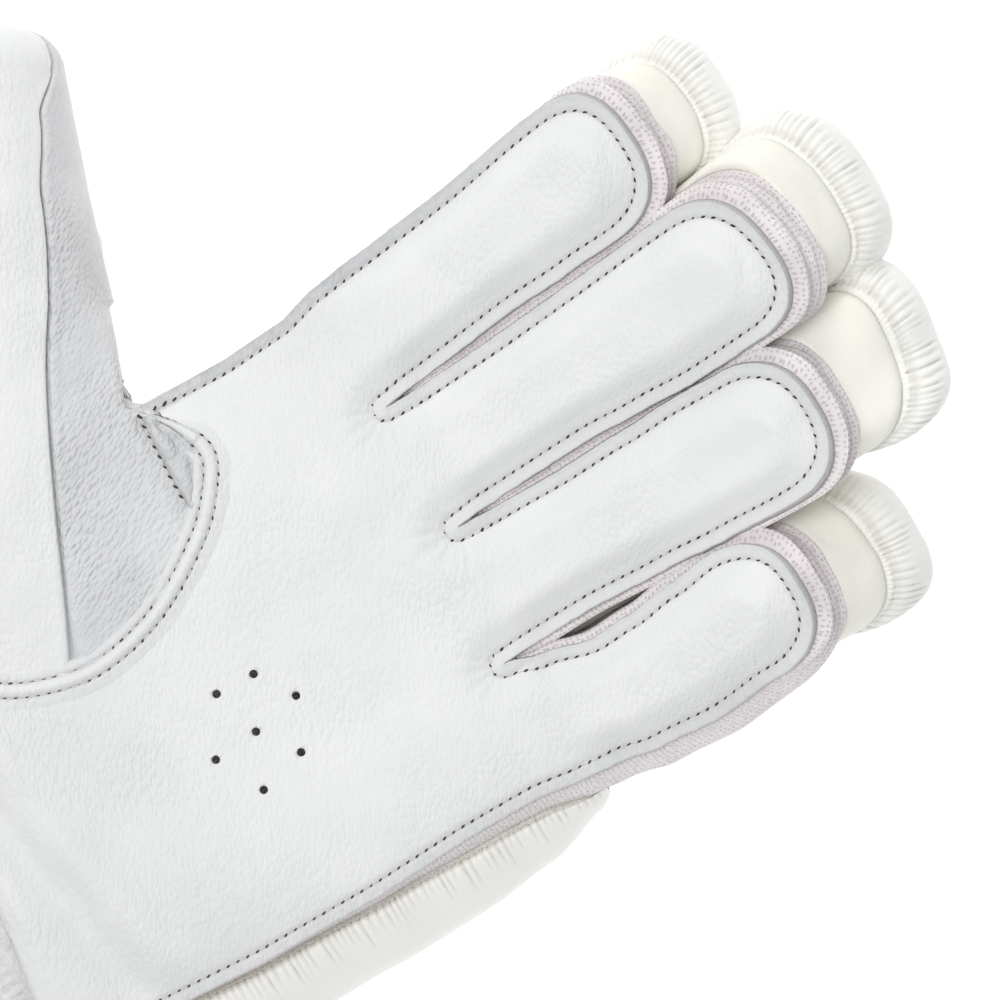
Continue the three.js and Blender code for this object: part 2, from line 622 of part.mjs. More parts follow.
// The mouth's rows: angle, share along the seam in the palm, or x, y in half palm widths and depth in HAND_SPACE.
const MOUTH = [
  { angle: -88, x: -1.07, y: -1.5, d: 1.09 },
  { angle: -60, x: -1.07, y: -1.2, d: 1.07 },
  { angle: -38, x: -1.07, y: -1.0, d: 0.85 },
  { angle: -20, x: -1.06, y: -0.945, d: 0.5 },
  { angle: -5, x: -1.03, y: -0.94, d: 0.13 },
  { angle: 58, seam: 0.59 },
  { angle: 168, seam: 0.985 },
  { angle: 188, x: -1.06, y: -2.13, d: 0.45 },
  { angle: 215, x: -1.07, y: -2.08, d: 0.82 },
  { angle: 240, x: -1.07, y: -1.9, d: 1.07 },
  { angle: 272, x: -1.07, y: -1.5, d: 1.09 },
];
function mouthPoint(angle, out) {
  const k = angle > 272 ? angle - 360 : angle;
  if (k >= -5 && k <= 168) {
    const share = k < 58 ? mix(0.03, 0.59, (k + 5) / 63) : mix(0.59, 0.985, (k - 58) / 110);
    const p = seamPoint(share, -0.5);
    const c = Math.min(1, Math.max(0, (p.x + HALF_PALM) / (2 * HALF_PALM)));
    const edge = Math.abs(2 * c - 1) ** 5 * RIM;
    return new THREE.Vector3(p.x, p.y, PALM_HEIGHT - edge + out);
  }
  const x = sampleStraight(MOUTH.filter((m) => m.x), "angle", "x", k) * HALF_PALM;
  const y = sampleStraight(MOUTH.filter((m) => m.x), "angle", "y", k) * HALF_PALM;
  const d = sampleStraight(MOUTH.filter((m) => m.x), "angle", "d", k) * HAND_SPACE;
  const spread = THREE.MathUtils.degToRad(k);
  return new THREE.Vector3(x, y + out * Math.cos(spread), PALM_HEIGHT - d + out * Math.sin(spread));
}
// The web between thumb and index finger: no skin lies further towards the fingers than this, by x.
const WEB = { x: -1.005, y: -0.945, slopes: [0.43, 0.8] }; // its lowest point in half palm widths, and its sides
function webY(x) {
  const from = x - WEB.x * HALF_PALM;
  return WEB.y * HALF_PALM + (from < 0 ? -from * WEB.slopes[0] : from * WEB.slopes[1]);
}
const THUMB_ROWS = [0, 0.07, 0.13, 0.2, 0.32, 0.5, 0.65, 0.8, 0.92, 1, 1.05, 1.09, 1.115, 1.128];
function skin(s, angle, out) {
  if (s >= 0.5) return thumbEllipse(s, angle, out);
  const p = mouthPoint(angle, out).lerp(thumbEllipse(0.5, angle, out), s / 0.5);
  p.y = Math.min(p.y, webY(p.x) + out);
  return p;
}
function thumbPiece(from, to, columns) {
  const rings = THUMB_ROWS.map((s) => {
    const radius = s < 1 ? 24 : 3;
    const gap = THREE.MathUtils.radToDeg(CLEARANCE / 2 / radius);
    const angles = shares(columns).map((k) => mix(from + gap, to - gap, k));
    return [...angles.map((a) => skin(s, a, 0)), ...angles.map((a) => skin(s, a, -LEATHER)).reverse()];
  });
  return closed(loft(rings));
}
// The web is trimmed where the corner of the palm leather reaches over it.
const corner = shares(8).map((s) => seamPoint(0.3 * s, -1.3 * CLEARANCE));
const beside = corner[0].x - 3;
const underCorner = [...corner, { x: corner[8].x, y: -0.5 * HALF_PALM }, { x: beside, y: -0.5 * HALF_PALM }];
underCorner.push({ x: beside, y: corner[0].y - 0.6 });
const side = solid(thumbPiece(THUMB_SEAMS.side, THUMB_SEAMS.front, 7));
const cover = prism(underCorner, PALM_HEIGHT - RIM_UNDER - CLEARANCE, 1.5 * PALM_HEIGHT);
add("thumb_side", geometryOf(side.subtract(solid(cover))), "thumb_leather");
add("thumb_front", thumbPiece(THUMB_SEAMS.front, THUMB_SEAMS.back, 8), "palm_leather");
add("thumb_back", thumbPiece(THUMB_SEAMS.back, THUMB_SEAMS.side + 360, 8), "cream_leather");

// Padding rolls on the back of the thumb.
function thumbRoll(from, to) {
  const rings = ROLL_ROWS.map((share) => {
    const s = mix(from, to, share);
    const end = fullness(Math.min(share, 1 - share) * (to - from) * THUMB_LENGTH, ROLL_ENDS);
    const angles = shares(6).map((k) => mix(210 + 8 * (1 - end), 320 - 8 * (1 - end), k));
    const inner = angles.map((a) => skin(s, a, 2.5 * CLEARANCE));
    const outer = angles.map((a, k) => {
      const bulge = Math.sin((Math.PI * (k + 0.8)) / 7.6) ** 0.6;
      return skin(s, a, 2.5 * CLEARANCE + THUMB_ROLL * bulge * mix(0.45, 1, end));
    });
    return [...inner, ...outer.reverse()];
  });
  return closed(loft(rings));
}
add("thumb_roll_base", thumbRoll(0.5, 0.77), "roll_leather");
add("thumb_roll_tip", thumbRoll(0.79, 1.07), "roll_leather");

// Doubled leather edge over the seam round the thumb hole.
function welt() {
  const rings = shares(26).map((k) => {
    const share = mix(0.1, 0.975, k);
    const raised = (out) => {
      const p = seamPoint(share, out);
      const c = Math.min(1, Math.max(0, (p.x + HALF_PALM) / (2 * HALF_PALM)));
      return { ...p, z: PALM_HEIGHT - Math.abs(2 * c - 1) ** 5 * RIM + 2 * CLEARANCE };
    };
    const half = WELT_WIDTH / 2;
    const upper = [-half, -half + 0.6, half - 0.6, half];
    const heights = [0.45, 1, 1, 0.45];
    const top = upper.map((o, i) => {
      const p = raised(o);
      return new THREE.Vector3(p.x, p.y, p.z + heights[i] * WELT_HEIGHT);
    });
    const under = upper.map((o) => {
      const p = raised(o);
      return new THREE.Vector3(p.x, p.y, p.z);
    });
    return [...top, ...under.reverse()];
  });
  return closed(loft(rings));
}
add("thumb_welt", welt(), "palm_leather");

// Towelling cuff: an open tube that starts inside the hand part, and a strap round its back.
const CUFF_ROWS = [0, 0.18, 0.34, 0.5, 0.66, 0.82, 0.975, 1];
const CUFF_COLUMNS = 28;
function cuffPoint(share, out, k) {
  const half = mix(0.815, 0.87, share) * HALF_PALM - 2;
  const widening = smooth(share * 1.2 - 0.2);
  const top = mix(LEATHER + PALM_HOLLOW * 0.4 + 3.4 * CLEARANCE, -2, widening);
  const bottom = LEATHER + HAND_SPACE + mix(-2.4 * CLEARANCE, 6, widening);
  const a = (k * 2 * Math.PI) / CUFF_COLUMNS;
  const squared = (n) => Math.sign(n) * Math.abs(n) ** 0.75;
  const d = (top + bottom) / 2 - squared(Math.sin(a)) * ((bottom - top) / 2 + out);
  return curl(squared(Math.cos(a)) * (half + out), palmPoint(0.5, 0.06).y - share * CUFF_LENGTH, d);
}
function cuff() {
  const turn = shares(CUFF_COLUMNS).slice(0, -1).map((k) => k * CUFF_COLUMNS);
  const outer = CUFF_ROWS.map((share) => turn.map((k) => cuffPoint(share, 0, k)));
  const inner = CUFF_ROWS.map((share) => turn.map((k) => cuffPoint(share, -CUFF_WALL, k)));
  const loop = [...outer, ...inner.reverse()];
  const positions = [];
  for (let i = 0; i < loop.length; i++)
    positions.push(...loft([loop[i], loop[(i + 1) % loop.length]], { first: true, last: true }));
  return closed(positions);
}
add("cuff", cuff(), "towelling");

const STRAP_ROWS = [2, 6]; // first and last of the cuff's rows that the strap covers
const STRAP_COLUMNS = [13, 29]; // and of its columns: the back and both sides
function strap() {
  const rings = CUFF_ROWS.slice(STRAP_ROWS[0], STRAP_ROWS[1] + 1).map((share) => {
    const columns = shares(STRAP_COLUMNS[1] - STRAP_COLUMNS[0]).map((k) => mix(...STRAP_COLUMNS, k));
    const inner = columns.map((k) => cuffPoint(share, CLEARANCE * 1.5, k));
    const outer = columns.map((k) => cuffPoint(share, CLEARANCE * 1.5 + STRAP_THICKNESS, k));
    return [...inner, ...outer.reverse()];
  });
  return closed(loft(rings));
}
add("wrist_strap", strap(), "strap");

// The origin is at the middle of the glove, on the surface it lies on.
const box = new THREE.Box3().setFromObject(glove);
const middle = box.getCenter(new THREE.Vector3());
for (const mesh of glove.children) mesh.geometry.translate(-middle.x, -middle.y, -box.min.z);

export default glove;
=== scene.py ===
# %% [markdown]
# # A cricket batting glove, palm up
#
# The glove is sewn from flat pieces: one sheet of soft white leather for the palm and the finger fronts,
# knitted sides, cream backs, and padding rolls that lie behind the fingers and the hand.
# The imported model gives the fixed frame. Each cell here makes one kind of piece as a tailor would: it is
# cut and shaped flat, in millimetres, and then bent with the curl that the fingers of a real glove have.

# %% Load the frame and note its box
import math

import bmesh
import bpy
from mathutils import Matrix, Vector, noise


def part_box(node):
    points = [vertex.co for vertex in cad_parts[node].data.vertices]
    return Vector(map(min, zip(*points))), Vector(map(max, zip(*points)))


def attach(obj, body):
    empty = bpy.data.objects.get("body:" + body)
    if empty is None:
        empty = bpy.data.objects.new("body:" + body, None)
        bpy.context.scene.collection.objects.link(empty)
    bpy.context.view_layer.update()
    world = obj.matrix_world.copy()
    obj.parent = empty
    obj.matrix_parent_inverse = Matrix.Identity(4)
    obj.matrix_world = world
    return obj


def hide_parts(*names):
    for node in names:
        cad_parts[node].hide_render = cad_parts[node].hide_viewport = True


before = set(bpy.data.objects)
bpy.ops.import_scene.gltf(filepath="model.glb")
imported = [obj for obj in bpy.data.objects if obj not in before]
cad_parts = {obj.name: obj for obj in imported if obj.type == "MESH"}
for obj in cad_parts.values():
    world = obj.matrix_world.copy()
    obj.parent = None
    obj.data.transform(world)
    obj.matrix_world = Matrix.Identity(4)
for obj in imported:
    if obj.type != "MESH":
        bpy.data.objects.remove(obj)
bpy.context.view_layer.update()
print("CAD nodes:", len(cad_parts))

# %% [markdown]
# ## The flat pattern
#
# These are the sizes of the CAD part, so that each piece lies where its solid is. `x` runs across the palm,
# `y` towards the fingertips and `depth` down from the palm leather. `curl` bends the flat pattern.

# %% Sizes in millimetres
MM = 0.001
PALM_HEIGHT = 54
PALM_LENGTH = 118
PITCH = 27.4
FINGER_LENGTH = 85.7
HALF_PALM = 2 * PITCH
LEATHER = 1.8
RIM = 3
BACK_RIM = 12.3
FINGER_FLOOR = 21.8
HAND_FLOOR = 29.8
RAMP = 0.7
BACK_WALL = 1.7
CLEARANCE = 0.3
STITCH_INSET = 2.6
SLIT_GAP = 0.6
SQUARENESS = 0.78
TIP_ROUND = 0.5 * PITCH
SLIT_ENDS = [share * FINGER_LENGTH for share in (-0.105, -0.105, -0.117, -0.198, -0.198)]
KNUCKLES = [share * FINGER_LENGTH for share in (-0.09, -0.09, -0.1, -0.165)]
PARTINGS = [share * PITCH for share in (-2.19, -1.2, 0, 1.15, 2.3)]
PARTINGS_AT = 0.72 * FINGER_LENGTH
WRIST_SLANT = 0.17
# Where the cuff meets the palm, as a share from its wrist to the finger roots.
CUFF_JOIN = 0.06
# Edges of the palm in half palms, at shares from the wrist to the finger roots.
PALM_LEFT = [(0, -0.86), (0.16, -0.92), (0.4, -0.97), (0.62, -0.985), (0.8, -0.96), (0.93, -0.965), (1, -1)]
PALM_RIGHT = [(0, 0.84), (0.16, 0.87), (0.4, 0.93), (0.62, 0.955), (0.8, 0.955), (0.93, 0.97), (1, 1)]
# Share of the way up a finger's edge at which it starts to turn round the tip.
STRAIGHT_SHARE = 0.7
# How far above the finger roots the backs start, in millimetres.
BACK_START = 0.9


def mix(a, b, t):
    return a + (b - a) * t


def smooth(t):
    t = min(1, max(0, t))
    return t * t * (3 - 2 * t)


def lookup(rows, key, ease=smooth):
    """The value of a table of (key, value) rows at a key, eased between its rows."""
    if key <= rows[0][0]:
        return rows[0][1]
    for (k0, v0), (k1, v1) in zip(rows, rows[1:]):
        if key <= k1:
            return mix(v0, v1, ease((key - k0) / (k1 - k0)))
    return rows[-1][1]


def straight(t):
    return t


def spline(points, t):
    """The point at share t of a smooth curve through a few evenly numbered points."""
    last = len(points) - 1
    k = min(last - 1, max(0, int(t * last)))
    u = t * last - k
    corners = [points[max(0, k - 1)], points[k], points[k + 1], points[min(last, k + 2)]]
    return [
        b + 0.5 * u * (c - a + u * (2 * a - 5 * b + 4 * c - d + u * (3 * (b - c) + d - a)))
        for a, b, c, d in zip(*corners)
    ]


def even_steps(point, count, start=0.0, end=2.0, samples=420):
    """Values from start to end at which point(value) moves on by even lengths, and the whole length."""
    values = [mix(start, end, i / samples) for i in range(samples + 1)]
    places = [Vector(point(v)) for v in values]
    lengths = [0.0]
    for a, b in zip(places, places[1:]):
        lengths.append(lengths[-1] + (b - a).length)
    steps = []
    k = 0
    for i in range(count + 1):
        target = lengths[-1] * i / count
        while k < samples - 1 and lengths[k + 1] < target:
            k += 1
        share = (target - lengths[k]) / max(1e-9, lengths[k + 1] - lengths[k])
        steps.append(mix(values[k], values[k + 1], share))
    return steps, lengths[-1]


def wobble(x, y, scale, seed=0.0):
    """Smooth noise from -1 to 1 over the flat pattern."""
    return noise.noise(Vector((x / scale, y / scale, seed)))


# %% The four fingers
FINGERS = [
    {"name": "index", "root": -1.5, "tip": -1.695, "length": 0.833, "width": 1, "skew": 0.02, "angle": 26},
    {"name": "middle", "root": -0.5, "tip": -0.545, "length": 1, "width": 1.08, "skew": 0.13, "angle": 32},
    {"name": "ring", "root": 0.5, "tip": 0.64, "length": 0.876, "width": 0.96, "skew": -0.09, "angle": 29},
    {"name": "little", "root": 1.5, "tip": 1.64, "length": 0.672, "width": 0.95, "skew": -0.02, "angle": 31},
]
for i, f in enumerate(FINGERS):
    f["index"] = i
    f["root_x"] = f["root"] * PITCH
    f["tip_x"] = f["tip"] * PITCH
    f["tip_y"] = f["length"] * FINGER_LENGTH + (SLIT_ENDS[i] + SLIT_ENDS[i + 1]) / 2
    f["bend"] = math.radians(f["angle"]) / (f["tip_y"] - KNUCKLES[i])
KNUCKLE_AT = [(f["tip_x"], KNUCKLES[f["index"]]) for f in FINGERS]
BEND_AT = [(f["tip_x"], f["bend"]) for f in FINGERS]

# How much further the padding reaches at each fingertip, on its left and on its right.
TIP_REACH = {"index": (0, 1.6), "middle": (0, 0.5), "ring": (9, 2.5), "little": (1.5, 2)}

# How far each finger front's edge lies outside the plain pattern: (y, millimetres) rows, left and right.
EDGE_SHIFT = {
    ("index", -1): [(-12, 0), (20, 0), (43, 0.9), (60, 0.9)],
    ("index", 1): [(-12, 0), (20, 0), (35, 0.9), (48, 1.7), (64, 1.7)],
    ("middle", -1): [(-9, 0), (0, -0.2), (20, -0.5), (34, -0.5), (52, -0.3), (75, 0)],
    ("middle", 1): [(-9, 0), (-3, -0.2), (20, -0.3), (32, 0.5), (45, 1.4), (64, 1.4)],
    ("ring", -1): [(-9, 0), (10, 0.1), (26, 0.9), (38, 1.6), (50, 1.5), (62, 0.6)],
    ("ring", 1): [(-16, 0), (2, -0.4), (20, 0.5), (32, 1.3), (45, 1.7), (60, 1.5)],
    ("little", -1): [(-16, 0), (-10, -1.6), (0, -3.7), (8, -3), (18, -1.4), (28, 0.1), (38, 0)],
    ("little", 1): [(-16, 0.2), (-9, 0.6), (0, 2.2), (12, 3), (26, 1.6), (38, 0.8)],
}

# How far the tip of each leather front lies beyond the plain pattern, at its left and right, and how far the
# tip of its back does.
TIP_SHIFT = {"index": (-2.2, -2.0), "middle": (-4.2, -4.0), "ring": (0, 2), "little": (0, 0)}
BACK_SHIFT = {"index": -2, "middle": -2.2, "ring": 0.8, "little": 0}


def tip_shift(f, lean):
    """Shift of a leather front's tip: lean runs from -1 at its left to 1 at its right."""
    return mix(*TIP_SHIFT[f["name"]], (lean + 1) / 2)


def root_y(c):
    """y of the line through the ends of the slits, at share c across the palm."""
    slot = min(3, max(0, int(c * 4)))
    return mix(SLIT_ENDS[slot], SLIT_ENDS[slot + 1], c * 4 - slot)


def wrist_y(c):
    """y of the wrist's end of the palm, at share c across it."""
    return SLIT_ENDS[0] - PALM_LENGTH - WRIST_SLANT * mix(-1, 1, c) * HALF_PALM


def palm_sides(t):
    """x of the palm's left and right edge."""
    return [lookup(rows, t, straight) * HALF_PALM for rows in (PALM_LEFT, PALM_RIGHT)]


def palm_point(c, t, out=0):
    """Plan point of the palm: c across it, t from the wrist to the finger roots."""
    left, right = palm_sides(t)
    return mix(left - out, right + out, c), mix(wrist_y(c), root_y(c), t)


def tip_turn(f, side, turn, inset):
    """Of a point round a fingertip: its root's share across the palm, its radius, shares across and along."""
    narrow = 0 if turn > 1.57 else math.cos(turn) ** SQUARENESS
    return (f["index"] + (side + 1) / 2) / 4, TIP_ROUND - inset * 0.5, narrow, math.sin(turn) ** SQUARENESS


def front_point(f, side, u, turn, inset=0):
    """Plan point of a finger front, inset from its edge: u along its straight part, turn round its tip."""
    c, round_by, narrow, along = tip_turn(f, side, turn, inset)
    skewed = f["skew"] * PITCH * side * narrow * u * 0.5
    tip = f["tip_y"] + tip_shift(f, side * narrow * u) - inset + skewed
    y = mix(root_y(c), tip - round_by, u) + round_by * along * u
    share = min(1, max(0, (y - root_y(c)) / (f["tip_y"] - root_y(c))))
    half = mix(PITCH, f["width"] * PITCH, smooth(share * 1.3)) / 2
    if 0 < c < 1:
        half -= SLIT_GAP / 2 * (1 - math.exp(-max(0, y - root_y(c)) / 1.2))
    half += lookup(EDGE_SHIFT[f["name"], side], y)
    return mix(f["root_x"], f["tip_x"], share) + side * (half - inset) * narrow, y


def parting(line, y):
    """x of the line between two fingers' backs."""
    root = root_y(line / 4)
    share = max(0, (y - root) / (PARTINGS_AT - root))
    return mix((line - 2) * PITCH, PARTINGS[line], share**1.2)


def back_point(f, side, u, turn, inset=0, reach=3, stretch=0.0):
    """Plan point of a finger's back or roll; at stretch 1 its tip has the padding's full reach."""
    c, round_by, narrow, along = tip_turn(f, side, turn, inset)
    skewed = f["skew"] * 0.5 * PITCH * side * narrow * u * 0.5
    tip = f["tip_y"] + BACK_SHIFT[f["name"]] + reach - inset + skewed
    tip += stretch * mix(*TIP_REACH[f["name"]], (side * narrow + 1) / 2)
    y = mix(root_y(c) + BACK_START, tip - round_by, u) + round_by * along * u
    left = parting(f["index"], y)
    right = parting(f["index"] + 1, y)
    return (left + right) / 2 + side * narrow * max(0, (right - left) / 2 - inset), y


def on_path(p):
    """Side, straight share and tip angle at p of the way round a finger: 0 and 2 are its roots, 1 its tip."""
    q = 1 - abs(p - 1)
    side = -1 if p < 1 else 1
    if q < STRAIGHT_SHARE:
        return side, q / STRAIGHT_SHARE, 0
    return side, 1, (q - STRAIGHT_SHARE) / 0.3 * math.pi / 2


def round_end(distance, radius):
    """Share of its full size that a rounded end has reached at a distance from it."""
    return math.sqrt(max(0, 1 - (1 - min(1, distance / radius)) ** 2))


# %% Bend the flat pattern into the frame
cuff_low, cuff_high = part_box("cuff")
SHIFT = Vector(((cuff_low.x + cuff_high.x) / 2 / MM, cuff_high.y / MM - palm_point(0.5, CUFF_JOIN)[1], 0))


def curl(x, y, depth):
    """The place in the frame, in metres, of a point of the flat pattern."""
    knuckle = lookup(KNUCKLE_AT, x)
    bend = lookup(BEND_AT, x)
    a = max(0, y - knuckle) * bend
    along = knuckle + math.sin(a) / bend if y > knuckle else y
    rise = (1 - math.cos(a)) / bend
    place = Vector((x, along + depth * math.sin(a), PALM_HEIGHT + rise - depth * math.cos(a)))
    return (place + SHIFT) * MM


def up_at(x, y):
    """The direction out of the palm leather at a point of the flat pattern."""
    a = max(0, y - lookup(KNUCKLE_AT, x)) * lookup(BEND_AT, x)
    return Vector((0, -math.sin(a), math.cos(a)))


print("shift to the frame, mm:", [round(n, 2) for n in SHIFT])

# %% [markdown]
# ## Finishes
#
# Every finish is built from nodes. It reads the object's own coordinates, and a `pattern` attribute that each
# piece carries: its place in the flat pattern in millimetres, and its greyness, which is mostly painted shade
# along seams, stitch grooves and cut edges, in creases, gathers and recesses, with a little random tone in
# places. Leather is a fine grain of cells; knit is rows of small holes.

# %% Node helpers
def blank(name, color, roughness, sheen=0.0, specular=0.5):
    """A new node material: returns it with its node tree and shader."""
    material = bpy.data.materials.new(name)
    material.use_nodes = True
    tree = material.node_tree
    shader = tree.nodes["Principled BSDF"]
    shader.inputs["Base Color"].default_value = (*color, 1)
    shader.inputs["Roughness"].default_value = roughness
    shader.inputs["Sheen Weight"].default_value = sheen
    shader.inputs["Specular IOR Level"].default_value = specular
    return material, tree, shader


def node(tree, kind, inputs=None, **settings):
    """A node with some of its settings and inputs filled in."""
    made = tree.nodes.new(kind)
    for key, value in settings.items():
        setattr(made, key, value)
    for key, value in (inputs or {}).items():
        if isinstance(value, bpy.types.NodeSocket):
            tree.links.new(value, made.inputs[key])
        else:
            made.inputs[key].default_value = value
    return made


def object_place(tree):
    return node(tree, "ShaderNodeTexCoord").outputs["Object"]


def pattern_place(tree):
    """The pattern attribute: its vector, and its third number, the greyness, which is mostly painted shade.
    """
    made = node(tree, "ShaderNodeAttribute", attribute_name="pattern")
    parts = node(tree, "ShaderNodeSeparateXYZ", {"Vector": made.outputs["Vector"]})
    return made.outputs["Vector"], parts.outputs["Z"]


def noise_at(tree, vector, scale, detail=2, rough=0.55):
    settings = {"Vector": vector, "Scale": scale, "Detail": detail, "Roughness": rough}
    return node(tree, "ShaderNodeTexNoise", settings).outputs["Fac"]


def ramp(tree, value, low, high, to_low=0.0, to_high=1.0):
    settings = {"Value": value, "From Min": low, "From Max": high, "To Min": to_low, "To Max": to_high}
    return node(tree, "ShaderNodeMapRange", settings).outputs["Result"]


def calculate(tree, operation, a, b):
    return node(tree, "ShaderNodeMath", {0: a, 1: b}, operation=operation).outputs[0]


def blend_colors(tree, factor, a, b):
    """A colour between two others; each is RGB or a socket."""
    colors = [(*c, 1) if isinstance(c, tuple) else c for c in (a, b)]
    return node(tree, "ShaderNodeMix", {0: factor, 6: colors[0], 7: colors[1]}, data_type="RGBA").outputs[2]


def add_bump(tree, shader, height, distance, strength=1.0, under=None):
    settings = {"Strength": strength, "Distance": distance, "Height": height}
    if under is not None:
        settings["Normal"] = under
    made = node(tree, "ShaderNodeBump", settings)
    tree.links.new(made.outputs["Normal"], shader.inputs["Normal"])
    return made.outputs["Normal"]


# %% Leather
# Grey towards which the painted shade in the pattern darkens the palm and pebbled leathers.
GREY = (0.5, 0.505, 0.515)


def leather(name, color, shade, roughness, cell, relief, shadow_tone=GREY, pull=(0, 1)):
    """Grained leather. cell is the size of its grain and relief its height, in millimetres; pull is the
    direction, in degrees, in which the hide was stretched, and how much longer its grain got there."""
    material, tree, shader = blank(name, color, roughness, sheen=0.05, specular=0.32)
    place = object_place(tree)
    _, grey = pattern_place(tree)
    turned = node(tree, "ShaderNodeMapping", {"Vector": place, "Rotation": (0, 0, -math.radians(pull[0]))})
    longer = node(tree, "ShaderNodeMapping", {"Vector": turned.outputs[0], "Scale": (1 / pull[1], 1, 1)})
    grain = {"Vector": longer.outputs[0], "Scale": 1000 / cell}
    cells = node(tree, "ShaderNodeTexVoronoi", grain).outputs["Distance"]
    broad = noise_at(tree, place, 60, 2)
    where = ramp(tree, noise_at(tree, place, 38, 3), 0.35, 0.65, 0.25, 1.3)
    first = add_bump(tree, shader, calculate(tree, "MULTIPLY", cells, where), -relief * MM, 0.8)
    wrinkles = noise_at(tree, longer.outputs[0], 520, 5, 0.7)
    second = add_bump(tree, shader, wrinkles, (0.1 + 0.9 * relief) * MM, 0.6, first)
    add_bump(tree, shader, noise_at(tree, place, 1500, 3), 0.09 * MM, 0.6, second)
    tone = blend_colors(tree, ramp(tree, broad, 0.3, 0.72), shade, color)
    # Painted shade: the pattern's greyness, mottled a little, darkens the tone towards the given shade
    # colour.
    mottle = ramp(tree, noise_at(tree, place, 500, 3), 0.3, 0.75, 0.75, 1.15)
    tone = blend_colors(tree, calculate(tree, "MULTIPLY", grey, mottle), tone, shadow_tone)
    tree.links.new(tone, shader.inputs["Base Color"])
    return material


PALM_WHITE = (0.872, 0.873, 0.872)
PALM_SHADE = (0.83, 0.833, 0.837)
palm_leather = leather("palm_leather", PALM_WHITE, PALM_SHADE, 0.46, 0.75, 0.2, GREY, (-26, 2))
# Greyer than the palm leather: partly its own tone, partly painted shade for the thumb's side panel, which
# faces away from the light.
PEBBLE_WHITE = (0.78, 0.783, 0.79)
PEBBLE_SHADE = (0.68, 0.683, 0.695)
thumb_leather = leather("pebbled_leather", PEBBLE_WHITE, PEBBLE_SHADE, 0.42, 0.8, 0.5, GREY, (113, 2.1))
CREAM = (0.98, 0.972, 0.91)
CREAM_SHADE = (0.95, 0.935, 0.85)
# Colour of the painted shade on the cream and roll leathers.
CREAM_SHADOW = (0.62, 0.58, 0.49)
cream_leather = leather("cream_leather", CREAM, CREAM_SHADE, 0.38, 0.7, 0.05, CREAM_SHADOW)
ROLL_WHITE = (0.985, 0.98, 0.955)
ROLL_SHADE = (0.955, 0.945, 0.9)
roll_leather = leather("roll_leather", ROLL_WHITE, ROLL_SHADE, 0.38, 0.7, 0.06, CREAM_SHADOW)


# %% Cut edges, knit, towelling, thread and webbing
def rough_fibre(name, color, shade, scale, relief, roughness=0.9, sheen=0.25):
    """Fibres too short to model one by one, such as the cut edge of leather."""
    material, tree, shader = blank(name, color, roughness, sheen=sheen, specular=0.2)
    fuzz = noise_at(tree, object_place(tree), scale, 4, 0.7)
    add_bump(tree, shader, fuzz, relief * MM)
    tone = blend_colors(tree, ramp(tree, fuzz, 0.3, 0.7), shade, color)
    tree.links.new(tone, shader.inputs["Base Color"])
    return material


def knitted(name, color, shade, pitch, relief):
    """Spacer knit: rows of small holes, laid out in the piece's own pattern, in a warm and hairy ground."""
    material, tree, shader = blank(name, color, 0.85, sheen=0.3, specular=0.2)
    pattern, grey = pattern_place(tree)
    settings = {"Vector": pattern, "Scale": 1 / pitch, "Randomness": 0.4}
    cells = node(tree, "ShaderNodeTexVoronoi", settings, voronoi_dimensions="2D").outputs["Distance"]
    place = object_place(tree)
    fuzz = noise_at(tree, place, 1100, 4, 0.7)
    ground = ramp(tree, calculate(tree, "ADD", cells, calculate(tree, "MULTIPLY", fuzz, 0.5)), 0.3, 0.55)
    hairy = calculate(tree, "ADD", ground, calculate(tree, "MULTIPLY", fuzz, 1.6))
    add_bump(tree, shader, hairy, relief * MM)
    tone = blend_colors(tree, ramp(tree, noise_at(tree, place, 70, 3), 0.3, 0.75), shade, color)
    # Painted shade: the holes are darker, and the pattern's greyness darkens the knit further.
    tone = blend_colors(tree, ground, tuple(c * 0.8 for c in shade), tone)
    tone = blend_colors(tree, grey, tone, tuple(c * 0.58 for c in shade))
    tree.links.new(tone, shader.inputs["Base Color"])
    return material


raw_edge = rough_fibre("cut_leather_edge", (0.66, 0.66, 0.65), (0.5, 0.5, 0.49), 1900, 0.25)
flesh_side = rough_fibre("leather_flesh_side", (0.74, 0.73, 0.71), (0.62, 0.61, 0.59), 900, 0.2)
knit = knitted("finger_knit", (0.97, 0.925, 0.93), (0.93, 0.86, 0.87), 0.95, 0.16)
towelling = rough_fibre("towelling", (0.93, 0.93, 0.92), (0.8, 0.8, 0.79), 600, 0.5)
thread = rough_fibre("pale_thread", (0.78, 0.775, 0.76), (0.6, 0.595, 0.58), 2500, 0.08, 0.6)
cream_thread = rough_fibre("cream_thread", (0.84, 0.81, 0.72), (0.7, 0.66, 0.57), 2500, 0.08, 0.6)
# Near-black beads: painted shade inside the needle holes.
hole_shade = rough_fibre("hole_shade", (0.07, 0.07, 0.07), (0.03, 0.03, 0.03), 2500, 0.05)
strap_web = rough_fibre("strap_web", (0.84, 0.84, 0.83), (0.74, 0.74, 0.73), 1200, 0.2)
print("finishes:", len(bpy.data.materials))

# %% [markdown]
# ## Helpers for sewn pieces
#
# Most pieces start as a grid that is laid over the pattern: each point of the grid is told its place. Points
# that meet, such as both halves of a fingertip, are then merged.

# %% Make a piece from a grid
def add_object(name, data):
    """A new object in the scene."""
    obj = bpy.data.objects.new(name, data)
    bpy.context.scene.collection.objects.link(obj)
    return obj


def add_mesh(name, bm):
    """A new mesh object in the scene, made from a bmesh, which is then let go."""
    mesh = bpy.data.meshes.new(name)
    bm.to_mesh(mesh)
    bm.free()
    return add_object(name, mesh)


